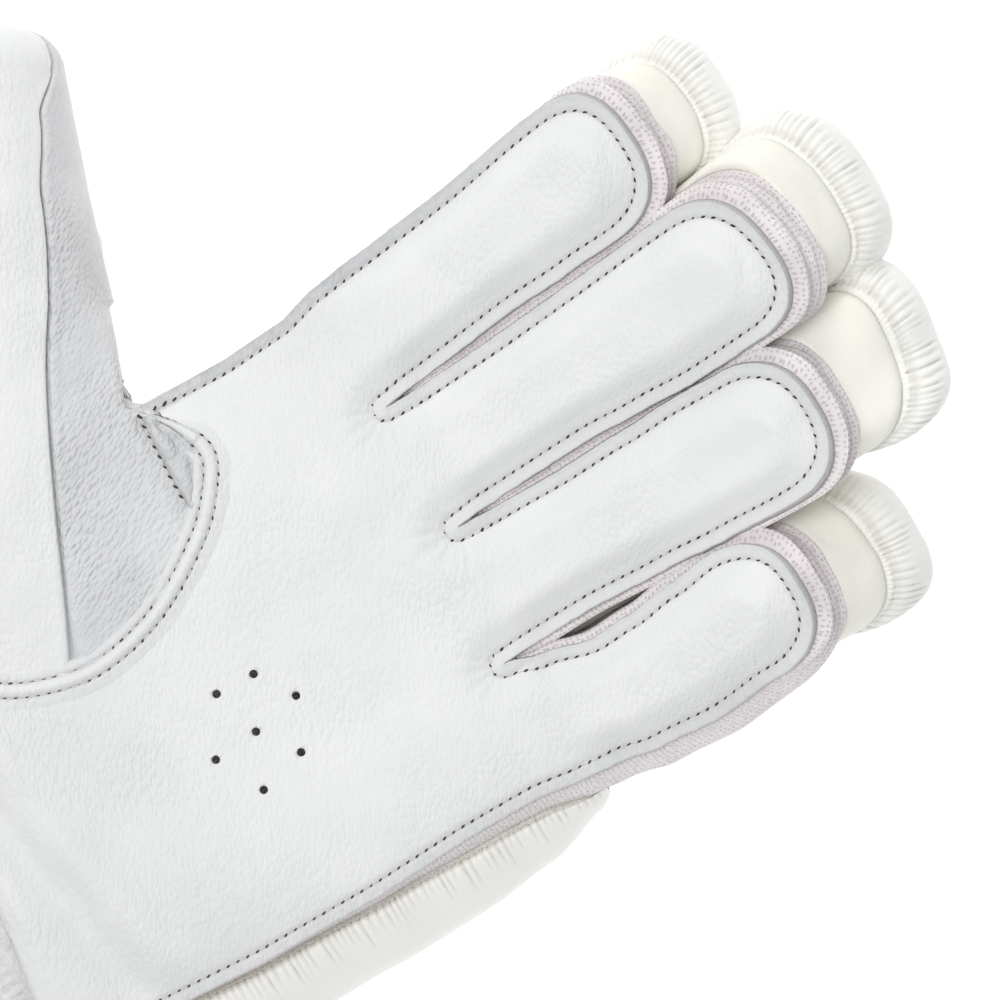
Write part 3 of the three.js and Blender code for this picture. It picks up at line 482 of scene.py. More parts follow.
def lay_grid(bm, columns, rows, place):
    """Adds a grid whose point (i, j) goes to place(i, j), which gives its place and its pattern numbers."""
    pattern = bm.verts.layers.float_vector.get("pattern") or bm.verts.layers.float_vector.new("pattern")
    made = bmesh.ops.create_grid(bm, x_segments=columns, y_segments=rows, size=0.5)
    for v in made["verts"]:
        v.co, v[pattern] = place(round((v.co.x + 0.5) * columns), round((v.co.y + 0.5) * rows))


def face_out(bm, direction=None):
    """Turns an open sheet's faces along a direction, or away from its own middle."""
    centre = sum((v.co for v in bm.verts), Vector()) / len(bm.verts)
    bmesh.ops.recalc_face_normals(bm, faces=bm.faces)
    total = 0
    for face in bm.faces:
        out = direction or (face.calc_center_median() - centre)
        total += face.normal.dot(out) * face.calc_area()
    if total < 0:
        bmesh.ops.reverse_faces(bm, faces=bm.faces)


def piece(name, bm, materials, nodes=(), weld=0.01, out=None):
    """Turns a bmesh into a finished object on the glove. Points closer than weld are merged, and the
    faces turned along out, or away from the middle."""
    if weld:
        bmesh.ops.remove_doubles(bm, verts=bm.verts, dist=weld * MM)
        bmesh.ops.dissolve_degenerate(bm, edges=bm.edges, dist=0.0005 * MM)
        face_out(bm, out)
    obj = add_mesh(name, bm)
    obj.data.shade_smooth()
    for material in materials:
        obj.data.materials.append(material)
    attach(obj, "root")
    if nodes:
        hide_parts(*nodes)
    return obj


def grid_piece(name, columns, rows, place, material, slot, nodes, weld=0.01, out=None):
    """A piece from one grid."""
    bm = bmesh.new()
    lay_grid(bm, columns, rows, place)
    return piece(name, bm, [material], nodes, weld, out)


def thicken(obj, wall, rim=0, back=0):
    """Gives a sheet its thickness, inwards; rim and back pick the materials of its edge and inner face."""
    modifier = obj.modifiers.new("thickness", "SOLIDIFY")
    modifier.thickness = wall * MM
    modifier.offset = -1
    modifier.material_offset_rim = rim
    modifier.material_offset = back
    return obj


# %% [markdown]
# ## Palm and finger fronts
#
# One sheet of leather, slit between the fingers. Near its edges the grid's columns follow the edge at fixed
# insets, close together, so that the flat seam allowance, the groove that the stitches pull and the pillow
# inside it come out sharp. The thumb hole and the vents are punched through it.

# %% Relief of the palm leather
EDGE_COLUMNS = [0, 0.3, 0.7, 1.2, 1.7, 2.1, 2.4, 2.6, 2.8, 3.1, 3.6, 4.3, 5.2]
INNER_COLUMNS = 12
COLUMNS = 2 * (len(EDGE_COLUMNS) - 1) + INNER_COLUMNS
PALM_ROWS = 104
WRIST_TRIM = 0.028
# The seam allowance of the palm's left edge starts above the thumb, at this y.
PALM_SEAM_FROM = -51
TOP = Vector((0, 0, 1))


def bell(x, width):
    return math.exp(-((x / width) ** 2))


def seam_relief(e, rim, soft=5.5):
    """Depth of the leather at distance e from its edge: flat allowance, stitched groove, pillow."""
    lift = 0.3 * bell(e, 0.8)
    groove = 0.5 * bell(e - STITCH_INSET, 0.55)
    pillow = rim * (1 - smooth((e - STITCH_INSET + 0.3) / soft)) ** 1.3
    return pillow + groove - lift


def seam_grey(e, allowance_shade=0.25):
    """Painted shade of the leather at distance e from its edge: on its seam allowance, in the stitched groove
    and at the cut edge; the second number is how much falls on the seam allowance.
    """
    return allowance_shade * (1 - smooth((e - 1.9) / 0.9)) + 0.3 * bell(e - STITCH_INSET, 0.4) + 0.2 * bell(e, 0.45)


def slit_place(x, y):
    """Distance to the nearest slit or its end, and the angle round that end."""
    line = min((1, 2, 3), key=lambda n: abs(x - (n - 2) * PITCH))
    beside = x - (line - 2) * PITCH
    below = min(0, y - SLIT_ENDS[line])
    return math.hypot(beside, below * 0.95), math.atan2(beside, -below)


def creases(x, y):
    """Hollows and folds of the palm: a bulge below the index finger, the fold at the heel of the hand, the
    crease across below the knuckles, and fine wrinkles."""
    bulge = math.hypot((x + 20) / 30, (y + 35) / 42)
    fold = y + 112 - 0.11 * x + 2.2 * wobble(x, 0, 20, 5)
    heel = 1.1 * bell(fold - 3.5, 5) - 1.5 * bell(fold + 5, 4.5)
    heel -= 0.4 * wobble(x * 0.5, y * 3.2, 6, 2) * bell(fold, 5)
    across = 0.5 * bell(y + 26 - 0.12 * x, 7) * bell(x, 40)
    fine = 0.07 * wobble(x + 0.5 * y, 2.6 * y - x, 8, 4.4) * (0.6 + wobble(x, y, 24, 6.2))
    soft = 0.8 * wobble(x, y, 34, 3.1) + 0.26 * wobble(x, y, 13, 7.7) + fine
    return soft + across - heel - 0.7 * bell(bulge, 0.8)


def palm_relief(x, y, c, t):
    """Depth and painted shade, as greyness, of the palm leather at a plan point."""
    rim = abs(2 * c - 1) ** 5 * RIM * 0.9
    dish = 1.6 * math.sin(math.pi * c) ** 2 * smooth(t * 1.6) * smooth((1 - t) * 2.5)
    depth = rim + dish + creases(x, y) * smooth((1 - abs(2 * c - 1)) * 6)
    e, angle = slit_place(x, y)
    fan = math.sin(angle * 15 + 2.5 * wobble(x, y, 7)) * bell(e - 6, 4) * (1 - smooth((e - 3) / 12))
    depth += seam_relief(e, 1.5, 7) + 0.13 * fan
    # Painted shade on the seam allowance and in the stitched groove round the slit ends, and on the sides of
    # the fan wrinkles there.
    grey = seam_grey(e) * 0.8 + 0.05 * max(0, fan)
    # Painted shade: a broad grey patch at the index finger's root and a grey that grows towards the wrist.
    grey += 0.13 * bell(math.hypot(x + 49, y + 15), 14) + 0.15 * smooth((-y - 66) / 26)
    side = min(c, 1 - c) * 2 * HALF_PALM
    if c > 0.5 or y > PALM_SEAM_FROM:
        depth += 0.5 * bell(side - STITCH_INSET, 0.55) - 0.3 * bell(side, 0.8)
        # Painted shade on the seam allowance and in the groove along the palm's sides.
        grey = max(grey, seam_grey(side, 0.42 if c > 0.5 else 0.72))
    edge = y - palm_point(c, WRIST_TRIM)[1]
    depth += 1.6 * (1 - smooth((edge + 0.5) / 4.5))
    return depth, grey


def palm_share(x, y):
    """The shares (c, t) of a plan point of the palm."""
    c = (x + HALF_PALM) / (2 * HALF_PALM)
    for _ in range(3):
        wrist = wrist_y(c)
        t = (y - wrist) / (root_y(min(1, max(0, c))) - wrist)
        left, right = palm_sides(t)
        c = (x - left) / (right - left)
    return min(1, max(0, c)), t


def front_relief(f, x, y, e, rise):
    """Depth and painted shade, as greyness, of a finger front, e from its edge and rise above its root at the
    palm.
    """
    share = smooth(rise / 12)
    depth = seam_relief(e, mix(1.5, RIM + 0.4, share), 7)
    depth += (0.35 * wobble(x, y, 19, 1.3 * f["index"]) + 0.1 * wobble(x, y, 7, 5.1)) * share
    palm_depth, palm_grey = palm_relief(x, y, min(1, max(0, (x / PITCH + 2) / 4)), 1)
    into = smooth(rise / 8)
    outside = (f["index"] == 0 and x < f["tip_x"]) or (f["index"] == 3 and x > f["tip_x"])
    # Painted shade on the seam allowance: heavier on the outer sides of the index and little fingers, most
    # towards the index finger's root.
    allowance_shade = mix(0.44, 0.26, smooth((y - f["tip_y"] + 22) / 14)) if outside else 0.24
    if f["index"] == 0 and outside:
        allowance_shade += 0.28 * (1 - smooth((y + 10) / 50))
    return mix(palm_depth, depth, into), mix(palm_grey, seam_grey(e, allowance_shade), into)


# %% Rows and columns of a finger front
STRAIGHT_ROWS = 62
TIP_ROWS = 28
# Closer together at the root: (share of the straight part, turn round the tip).
FRONT_ROWS = [
    (mix(i, STRAIGHT_ROWS * (i / STRAIGHT_ROWS) ** 1.5, 0.5) / STRAIGHT_ROWS, 0) for i in range(STRAIGHT_ROWS)
]
FRONT_ROWS += [(1, math.pi / 2 * i / TIP_ROWS) for i in range(TIP_ROWS + 1)]


def across(f, u, turn, column):
    """Plan point and edge distance of a finger front in one column of the grid."""
    last = len(EDGE_COLUMNS) - 1
    k = min(column, COLUMNS - column)
    side = 1 if column > COLUMNS / 2 else -1
    if k <= last:
        return *front_point(f, side, u, turn, EDGE_COLUMNS[k]), EDGE_COLUMNS[k]
    left = front_point(f, -1, u, turn, EDGE_COLUMNS[-1])
    right = front_point(f, 1, u, turn, EDGE_COLUMNS[-1])
    s = (column - last) / INNER_COLUMNS
    x, y = mix(left[0], right[0], s), mix(left[1], right[1], s)
    middle = min(f["width"] * PITCH / 2, max(EDGE_COLUMNS[-1], f["tip_y"] + tip_shift(f, 0) - y))
    return x, y, mix(middle, EDGE_COLUMNS[-1], abs(2 * s - 1) ** 1.2)


def on_root_line(u, y, first):
    """y moved so that the first row's point lies on the line through the slits' ends, and that line's y."""
    start = root_y((first[0] / PITCH + 2) / 4)
    return y + (start - first[1]) * (1 - smooth(u * 3.5)), start


# %% Lay out the palm sheet
bm = bmesh.new()
for f in FINGERS:

    def place_front(i, j, f=f):
        x, y, e = across(f, *FRONT_ROWS[j], i)
        y, start = on_root_line(FRONT_ROWS[j][0], y, across(f, 0, 0, i))
        rise = y - start
        depth, grey = front_relief(f, x, y, e, rise)
        ragged = 0.3 * wobble(x, y, 3.2, 2.2) + 0.16 * wobble(x, y, 1.1, 6)
        ragged *= bell(e, 1.1) * smooth(rise / 4)
        return curl(x + math.copysign(ragged, x - f["tip_x"]), y, depth), (x, y, grey)

    lay_grid(bm, COLUMNS, len(FRONT_ROWS) - 1, place_front)


def place_palm(i, j):
    """Palm columns line up with those of the fingers at the roots."""
    f = FINGERS[min(3, i // COLUMNS)]
    x, _, _ = across(f, 0, 0, i - f["index"] * COLUMNS)
    c = (x / PITCH + 2) / 4
    t = mix(1, WRIST_TRIM, (1 - j / PALM_ROWS) ** 1.25)
    even = mix(i / (4 * COLUMNS), c, smooth((t - 0.75) / 0.2))
    edge = min(c, 1 - c) * 2 * HALF_PALM
    even = mix(c, even, smooth((edge - 6) / 14))
    x, y = palm_point(even, t)
    depth, grey = palm_relief(x, y, even, t)
    return curl(x, y, depth), (x, y, grey)


lay_grid(bm, 4 * COLUMNS, PALM_ROWS, place_palm)
finishes = [palm_leather, flesh_side, raw_edge]
palm = piece("palm_panel_leather", bm, finishes, ["palm_panel"], 0.03, TOP)
thicken(palm, LEATHER, rim=2, back=1)
print("palm leather:", len(palm.data.vertices), "points")

# %% Punch the thumb hole and the vents
# Seam round the thumb hole, and the vents, in half palms.
THUMB_SEAM = [
    (-0.98, -0.93), (-0.86, -0.83), (-0.72, -0.785), (-0.61, -0.84), (-0.475, -0.98), (-0.33, -1.25),
    (-0.28, -1.52), (-0.33, -1.74), (-0.43, -1.91), (-0.6, -2.07), (-0.83, -2.17), (-1.02, -2.15),
]
VENTS = [
    (0.03, -1.23), (0.042, -1.08), (0.19, -0.995), (0.22, -1.185), (0.226, -1.36), (0.37, -1.09),
    (0.41, -1.275),
]
VENT_RADIUS = 0.85
VENT_CORNERS = 16


def seam_point(share, offset=0.0):
    """Plan point of the seam round the thumb hole, moved by an offset into the palm."""
    x, y = spline(THUMB_SEAM, share)
    a = Vector(spline(THUMB_SEAM, max(0, share - 0.004)))
    b = Vector(spline(THUMB_SEAM, min(1, share + 0.004)))
    along = (b - a).normalized()
    return x * HALF_PALM - along.y * offset, y * HALF_PALM + along.x * offset


def upright(bm, outline):
    """Adds an upright block over a plan outline, tall enough to cut through the palm."""
    corners = [bm.verts.new((Vector((x, y, 20)) + SHIFT) * MM) for x, y in outline]
    bmesh.ops.contextual_create(bm, geom=corners)
    made = bmesh.ops.extrude_face_region(bm, geom=[face for face in bm.faces if corners[0] in face.verts])
    raised = [item for item in made["geom"] if isinstance(item, bmesh.types.BMVert)]
    bmesh.ops.translate(bm, verts=raised, vec=Vector((0, 0, 60 * MM)))


bm = bmesh.new()
far = -1.6 * HALF_PALM
arc = [seam_point(i / 60) for i in range(61)]
upright(bm, [(far, arc[0][1] - 6), (arc[0][0] - 5, arc[0][1] - 3)] + arc + [(far, arc[-1][1])])
turns = [2 * math.pi * i / VENT_CORNERS for i in range(VENT_CORNERS)]
for vent_x, vent_y in VENTS:
    x, y = vent_x * HALF_PALM, vent_y * HALF_PALM
    upright(bm, [(x + VENT_RADIUS * math.cos(a), y + VENT_RADIUS * math.sin(a)) for a in turns])
bmesh.ops.recalc_face_normals(bm, faces=bm.faces)
punch = add_mesh("punch", bm)
cut = palm.modifiers.new("punched", "BOOLEAN")
cut.operation = "DIFFERENCE"
cut.solver = "MANIFOLD"
cut.object = punch


def apply_modifiers(obj):
    """Replaces an object's mesh by what its modifiers make of it."""
    graph = bpy.context.evaluated_depsgraph_get()
    finished = bpy.data.meshes.new_from_object(obj.evaluated_get(graph), depsgraph=graph)
    obj.modifiers.clear()
    obj.data = finished
    return obj


apply_modifiers(palm)
bpy.data.objects.remove(punch)
print("punched palm:", len(palm.data.polygons), "faces")


def on_palm(x, y, lift=0.0):
    """A place on the palm leather, raised by lift millimetres."""
    c, t = palm_share(x, y)
    return curl(x, y, palm_relief(x, y, c, t)[0] - lift)


# %% [markdown]
# ## Stitches
#
# A row of stitches holds each leather edge. Each is a short thread pressed into the groove, with a dark
# slanted bead at each end, which paints the shade inside its needle hole. A row is walked along at even
# steps, so all stitches have one length.

# %% Sew rows of stitches
STITCH = 2.15
# Height, in millimetres, at which a row of stitches runs over the leather.
STITCH_LIFT = 0.02
threads = []
holes = []


def bead(place, along, up, sizes, slant=0.0):
    """The matrix of a small ellipsoid whose half sizes, in millimetres, lie along, across and up."""
    side = up.cross(along).normalized()
    forward = side.cross(up).normalized()
    turn = Matrix.Rotation(slant, 3, up)
    axes = Matrix((turn @ forward, turn @ side, up)).transposed()
    return Matrix.Translation(place) @ axes.to_4x4() @ Matrix.Diagonal((*[n * MM for n in sizes], 1))


def beads_piece(name, matrices, material):
    """One piece from many small ellipsoids, built in batches."""
    whole = bmesh.new()
    for first in range(0, len(matrices), 60):
        batch = bmesh.new()
        for matrix in matrices[first : first + 60]:
            bmesh.ops.create_uvsphere(batch, u_segments=8, v_segments=5, radius=1, matrix=matrix)
        part = bpy.data.meshes.new(name)
        batch.to_mesh(part)
        batch.free()
        whole.from_mesh(part)
        bpy.data.meshes.remove(part)
    return piece(name, whole, [material], weld=0)


def sew(places, ups, step=STITCH, thread_list=threads, hole_list=holes):
    """Stitches along a line of places in the frame, with the direction out of the leather at each."""
    reach = [0.0]
    for a, b in zip(places, places[1:]):
        reach.append(reach[-1] + (b - a).length / MM)
    count = max(1, round(reach[-1] / step))
    knots = []
    k = 0
    for i in range(count + 1):
        target = reach[-1] * i / count
        while k < len(places) - 2 and reach[k + 1] < target:
            k += 1
        share = (target - reach[k]) / max(1e-9, reach[k + 1] - reach[k])
        knots.append((places[k].lerp(places[k + 1], share), ups[k].lerp(ups[k + 1], share).normalized()))
    for i, ((a, up), (b, _)) in enumerate(zip(knots, knots[1:])):
        along = (b - a).normalized()
        sway = 0.3 * noise.noise(a * 700)
        size = 1 + 0.45 * noise.noise(a * 900 + TOP)
        # A dark bead of painted shade for the needle hole.
        hole_list.append(bead(a, along, up, (0.6 * size, 0.26 * size, 0.13), 0.5 + sway))
        thread_list.append(bead((a + b) / 2, along, up, (0.36 * step, 0.2, 0.2), sway))
    return count


def front_line(f, p, inset):
    """Place of a point on a finger front, inset from its edge, at p of the way round."""
    side, u, turn = on_path(p)
    x, y = front_point(f, side, u, turn, inset)
    y, start = on_root_line(u, y, front_point(f, side, 0, 0, inset))
    depth, _ = front_relief(f, x, y, inset, y - start)
    return curl(x, y, depth - STITCH_LIFT), up_at(x, y)


line = []
for i in range(21):
    inset = mix(1.7, STITCH_INSET, smooth(i / 8))
    line.append(on_palm(*palm_point(0, mix(0.63, 0.995, i / 20), -inset)))
ups = [TOP] * len(line)
for f in FINGERS:
    for i in range(241):
        place, up = front_line(f, 2 * i / 240, STITCH_INSET)
        line.append(place)
        ups.append(up)
    if f["index"] < 3:
        slit_x = (f["index"] - 1) * PITCH
        slit_y = SLIT_ENDS[f["index"] + 1]
        for i in range(1, 12):
            a = math.pi * i / 12
            x, y = slit_x - STITCH_INSET * math.cos(a), slit_y - 1.05 * STITCH_INSET * math.sin(a)
            line.append(on_palm(x, y, STITCH_LIFT))
            ups.append(TOP)
for i in range(61):
    line.append(on_palm(*palm_point(1, mix(0.995, 0.03, i / 60), -STITCH_INSET)))
    ups.append(TOP)
print("stitches round the fingers:", sew(line, ups))

# %% [markdown]
# ## Welt round the thumb hole
#
# A doubled strip of leather covers the seam between palm and thumb. Two rows of stitches pull it down, and it
# swells between them.

# %% Welt and its two rows of stitches
# Across the strip: offset from the seam into the palm, and height above the leather.
WELT = [
    (-3.9, -1.6), (-3.6, 0.1), (-3.1, 0.55), (-2.3, 0.62), (-1.75, 0.5), (-1.5, 0.22), (-1.2, 0.55),
    (-0.7, 0.95), (0, 1.1), (0.6, 0.95), (1.1, 0.6), (1.4, 0.2), (1.7, 0.36), (2.2, 0.36), (2.8, 0.22),
    (3.5, 0.08), (4.2, -0.12),
]
WELT_COLUMNS = 260
WELT_ROWS = 32
# How far along the strip its end laps over, in millimetres.
LAP_AT = 17.5
# The rows of stitches: offset, and the step of 120 at which they start.
WELT_STITCHES = ((-1.5, 18), (1.43, 10))
welt_steps, welt_length = even_steps(seam_point, WELT_COLUMNS, 0.0, 1.0)


def welt_place(share, offset, lift=0.0):
    """A place on the strip, which runs out to a point at the crotch of the thumb."""
    offset *= mix(0.1 if offset > 0 else 0.6, 1, smooth((share - 0.05) / 0.12))
    lift *= mix(0.25, 1, smooth((share - 0.02) / 0.12))
    x, y = seam_point(share, offset)
    base = seam_point(share, max(offset, 0.4))
    return curl(x, y, palm_relief(*base, *palm_share(*base))[0] - lift)


def place_welt(i, j):
    share = welt_steps[i]
    offset, height = spline(WELT, j / WELT_ROWS)
    s = share * welt_length
    pucker = 0.1 * math.sin(2 * math.pi * s / STITCH) * bell(abs(offset) - 1.5, 0.9)
    height += pucker + 0.12 * wobble(s, offset, 5, 9.1)
    lap = s - LAP_AT - 1.2 * (1 - (offset / 1.5) ** 2)
    height += 0.4 * (1 - smooth((lap + 0.4) / 0.6)) * bell(offset, 2.2)
    # Painted shade along both rows of stitches, on the strip's inner edge and where its end laps over, on top
    # of a light even grey of its own.
    near = min(abs(offset - 1.45), abs(offset + 1.5))
    grey = 0.3 * bell(near, 0.5) + 0.1 + (0.15 if offset < -1.5 else 0)
    grey += 0.4 * bell(lap, 0.3) * bell(offset, 1.4)
    return welt_place(share, offset, height), (s, offset, grey)


grid = WELT_COLUMNS, WELT_ROWS, place_welt
thicken(grid_piece("thumb_welt_strip", *grid, palm_leather, "palm_leather", ["thumb_welt"], 0.01, TOP), 0.8)
for offset, first in WELT_STITCHES:
    height = lookup(WELT, offset, straight) + STITCH_LIFT
    row = [welt_place(i / 120, offset, height) for i in range(first, 121)]
    print("welt stitches:", sew(row, [TOP] * len(row)))

# %% [markdown]
# ## Knitted finger sides
#
# Behind the leather's edge runs a knitted gusset. Round the fingertips a narrow flange of it shows, then a
# recess, and then two soft folds down to the cream back of the finger.

# %% Shape of the gussets
# Share from the wrist at which the index finger's gusset ends, at the crotch of the thumb.
CROTCH = 0.655
# Depth of the gussets' lower edge, and of the leather at its edge beside a slit and on the outside.
KNIT_FLOOR = 12.9
SLIT_EDGE = 1.5
OUTER_EDGE = 2.6
# Across the knit from under the leather to the back: steady part, shares of the reach beside a slit and on
# the outside of the hand, bulge at a fingertip, share of the depth.
KNIT_SECTION = [
    (-3.2, 0, 0, 0, 0), (-1.2, 0, 0, 0, 0), (-0.2, 0.6, 0.08, 1.7, 0.0), (0, 0.9, 0.16, 2.9, 0.04),
    (0, 1, 0.26, 3.1, 0.1), (-0.1, 1, 0.38, 2.3, 0.2), (-0.2, 0.9, 0.52, 1.3, 0.32),
    (-0.1, 0.9, 0.68, 1.4, 0.45), (0, 1, 0.83, 1.9, 0.58), (-0.1, 0.9, 0.9, 2.0, 0.68), (0, 1, 1, 2.4, 0.8),
    (0, 1, 1, 2.8, 0.9), (-0.5, 0.9, 0.9, 2.7, 1.0), (-1.8, 0.8, 0.8, 1.6, 1.06),
]
# How far the knit stands out on the little finger's side, by y.
LITTLE_REACH = [(-130, 0.4), (-80, 0.9), (-60, 1.6), (-38, 3.0), (-16, 3.8), (0, 4.4), (20, 4.4), (38, 2.2)]
KNIT_ROWS = 34


def edge_point(f, p, out):
    """Plan point out from the leather's edge: below 0 down the palm's left side, above 2 down its right."""
    if p < 0:
        return palm_point(0, mix(1, CROTCH, -p), out)
    if p > 2:
        return palm_point(1, mix(1, 0, p - 2), out)
    side, u, turn = on_path(p)
    return front_point(f, side, u, turn, -out)


def edge_depth(f, p):
    """Depth of the leather at its edge."""
    if not 0 <= p <= 2:
        return OUTER_EDGE
    side, u, _ = on_path(p)
    by_slit = 0 < f["index"] + (side + 1) / 2 < 4
    return mix(SLIT_EDGE if by_slit else OUTER_EDGE, RIM + 0.4, smooth(u * 3)) - 0.2


def edge_row(f, side):
    """(y, x) rows of a finger front's edge."""
    points = [front_point(f, side, *on_path(i / 60)[1:]) for i in range(61)]
    return [(y, x) for x, y in points]


EDGES = {(f["index"], side): edge_row(f, side) for f in FINGERS for side in (-1, 1)}


def knit_reach(f, p, y):
    """How far the knit stands out beyond the leather: beside a slit it fills half of the gap."""
    side = -1 if p < 1 else 1
    other = f["index"] + side
    if other > 3:
        return lookup(LITTLE_REACH, y)
    if other < 0:
        return 0.35
    own = lookup(EDGES[f["index"], side], y, straight)
    facing = lookup(EDGES[other, -side], y, straight)
    return min(1.8, max(0.1, abs(facing - own) / 2 + 0.12))


# %% Gussets
def gusset(f):
    start = -0.98 if f["index"] == 0 else 0.01
    end = 2.98 if f["index"] == 3 else 1.99
    columns = 170 + 60 * (f["index"] in (0, 3)) + 90 * (f["index"] == 3)
    steps, length = even_steps(lambda p: edge_point(f, p, 0), columns, start, end)

    def place(i, j):
        p = steps[i]
        s = length * i / columns
        _, _, turn = on_path(min(2, max(0, p)))
        tip = math.sin(turn)
        base, by_slit, by_outside, by_tip, down = spline(KNIT_SECTION, j / KNIT_ROWS)
        _, y = edge_point(f, p, 0)
        outside = f["index"] + (1 if p > 1 else -1) in (-1, 4)
        reach = knit_reach(f, p, y) * (by_outside if outside else by_slit)
        fold = 0.5 * noise.noise(Vector((s / 6, j / 5, f["index"]))) * (0.15 + tip)
        fold *= smooth((down + 0.05) * 4)
        out = base + reach * (1 - tip) + by_tip * tip + fold
        lean = (-1 if p < 1 else 1) * math.cos(turn)
        out += (BACK_SHIFT[f["name"]] - tip_shift(f, lean)) * tip * smooth((down - 0.02) / 0.3)
        x, y = edge_point(f, p, out)
        depth = mix(edge_depth(f, p) + LEATHER + 0.2, KNIT_FLOOR, down) + fold * 0.5
        # Painted shade in the recess and fold round the fingertip and down inside the slits; the last term is
        # random tone.
        grey = tip * (0.7 * bell(down - 0.27, 0.1) + 0.3 * bell(down - 0.69, 0.06))
        grey += 0.5 * (1 - tip) * smooth((down - 0.1) * 3) * (not outside)
        grey += 0.25 * smooth(0.5 + noise.noise(Vector((s / 7, j / 9, 5 + f["index"])))) * (0.3 + tip)
        return curl(x, y, depth), (s, 15 * j / KNIT_ROWS, min(1, grey))

    name = f["name"] + "_gusset"
    thicken(grid_piece(name + "_knit", columns, KNIT_ROWS, place, knit, "knit", [name]), 0.7)


for f in FINGERS:
    gusset(f)
print("gussets:", len(FINGERS))

# %% [markdown]
# ## Cream backs of the fingers
#
# Each finger has a cream leather shell behind the knit. At the fingertip it shows as a smooth band with a few
# soft wrinkles, sewn to the roll behind it.

# %% Finger backs
# Inset from the outline at the sides, what it bulges at the tip, and depth.
BACK_SECTION = [
    (2.4, -0.5, 13.6), (1.7, 0.0, 12.5), (1.1, 0.3, 12.2), (0.7, 0.5, 12.6), (0.35, 0.7, 13.8),
    (0.15, 1.0, 15.6), (0.1, 1.6, 17.6), (0.15, 2.3, 19.6), (0.4, 2.7, 21.4), (1.0, 2.3, 22.8),
    (2.2, 0.8, 23.4), (5, -2, 23.5), (9, -7, 23.5), (16, -16, 23.5),
]
BACK_ROWS = 34


def back(f):
    columns = 150
    steps, length = even_steps(lambda p: back_point(f, *on_path(p)), columns)

    def place(i, j):
        side, u, turn = on_path(steps[i])
        tip = math.sin(turn)
        s = length * i / columns
        inset, bulge, depth = spline(BACK_SECTION, j / BACK_ROWS)
        shown = smooth((depth - 12) / 3) * (1 - smooth((depth - 22.6) / 1))
        fold = 0.28 * wobble(s, depth * 2.2, 7, f["index"]) + 0.12 * wobble(s * 2.2, depth, 5, 3)
        inset = inset - bulge * tip - fold * shown * (0.3 + tip)
        x, y = back_point(f, side, u, turn, inset, 3, 0.9 * smooth((depth - 12) / 9))
        # Painted shade where the back tucks under the roll and at its seam with the knit.
        grey = 0.35 * bell(depth - 22.4, 0.5) + 0.12 * bell(depth - 12.3, 0.5)
        return curl(x, y, depth), (s, depth, grey)

    name = f["name"] + "_back"
    grid = columns, BACK_ROWS, place
    made = grid_piece(name + "_leather", *grid, cream_leather, "cream_leather", [name], 0.02)
    thicken(made, 1.1)


for f in FINGERS:
    back(f)
print("finger backs:", len(FINGERS))

# %% [markdown]
# ## Gathered rolls at the fingertips
#
# The roll behind each fingertip is a stuffed pocket. Its leather is gathered into the seam round the tip, so
# it starts in fine radial pleats, which run out over the round of the roll.

# %% Fingertip rolls
# Inset at the sides, bulge at the tip, depth.
ROLL_SECTION = [
    (3.2, 0.5, 23.9), (1.7, 1.6, 22.7), (1.0, 2.9, 22.2), (0.7, 3.5, 22.5), (0.6, 3.8, 23.1),
    (0.45, 4.6, 23.5), (0.3, 5.6, 24.6), (0.2, 6.4, 26.6), (0.2, 6.7, 29.4), (0.3, 6.2, 32.4),
    (0.9, 4.6, 35.4), (2.6, 1.6, 38.0), (5.5, -3, 39.4), (9, -8, 39.8), (16, -16, 40.0),
]
ROLL_TOP = 23.9
ROLL_ENDS = 6
# Width of a pleat, in millimetres.
PLEAT = 1.32
ROLL_ROWS = 44


def tip_roll(f):
    start_y = mix(root_y((f["index"] + 0.5) / 4), f["tip_y"] + 5, 0.6) + 0.6
    first = next(i / 400 for i in range(400) if back_point(f, *on_path(i / 400))[1] > start_y)
    columns = 300
    steps, length = even_steps(lambda p: back_point(f, *on_path(p), -3, 3, 1), columns, first, 2 - first)
    pleats = round(length / PLEAT)

    def place(i, j):
        side, u, turn = on_path(steps[i])
        tip = math.sin(turn) ** 0.8
        s = length * i / columns
        inset, bulge, depth = spline(ROLL_SECTION, j / ROLL_ROWS)
        full = round_end(min(s, length - s), ROLL_ENDS)
        phase = math.pi * pleats * i / columns + 4.2 * noise.noise(Vector((s / 6, 0.5, f["index"])))
        phase += 0.25 * noise.noise(Vector((s / 3, depth / 3, 8)))
        strength = min(1, max(0, 0.6 + 1.1 * noise.noise(Vector((s / 2.3, 3.5, f["index"])))))
        fade = smooth((depth - 22.2) / 0.9) * (1 - smooth((depth - 23.6 - 3.6 * strength) / 3.4))
        fade *= smooth(tip * 2.2)
        crease = 1 - abs(math.sin(phase)) ** 0.55
        ripple = (0.12 - 0.62 * crease) * fade * (0.45 + 0.55 * strength)
        ripple += 0.16 * math.sin(phase * 3.1 + 1) * bell(depth - 22.4, 0.6) * tip
        soft = 0.7 * wobble(s, depth * 1.5, 9, f["index"] + 4)
        inset += 2.2 * (1 - full)
        depth = ROLL_TOP + (depth - ROLL_TOP) * mix(0.45, 1, full)
        x, y = back_point(f, side, u, turn, inset - bulge * tip - ripple - soft * 0.5, 3, 1)
        # Painted shade at the roll's seam round the tip and in the creases of the pleats.
        grey = 0.4 * bell(depth - 23.2, 0.35) * tip + 0.55 * fade * crease**2
        return curl(x, y, depth - ripple * 0.6), (s, depth, grey)

    name = f["name"] + "_tip_roll"
    stands_for = [f["name"] + "_roll_tip"]
    made = grid_piece(name, columns, ROLL_ROWS, place, roll_leather, "roll_leather", stands_for, 0.02)


for f in FINGERS:
    tip_roll(f)
print("fingertip rolls:", len(FINGERS))

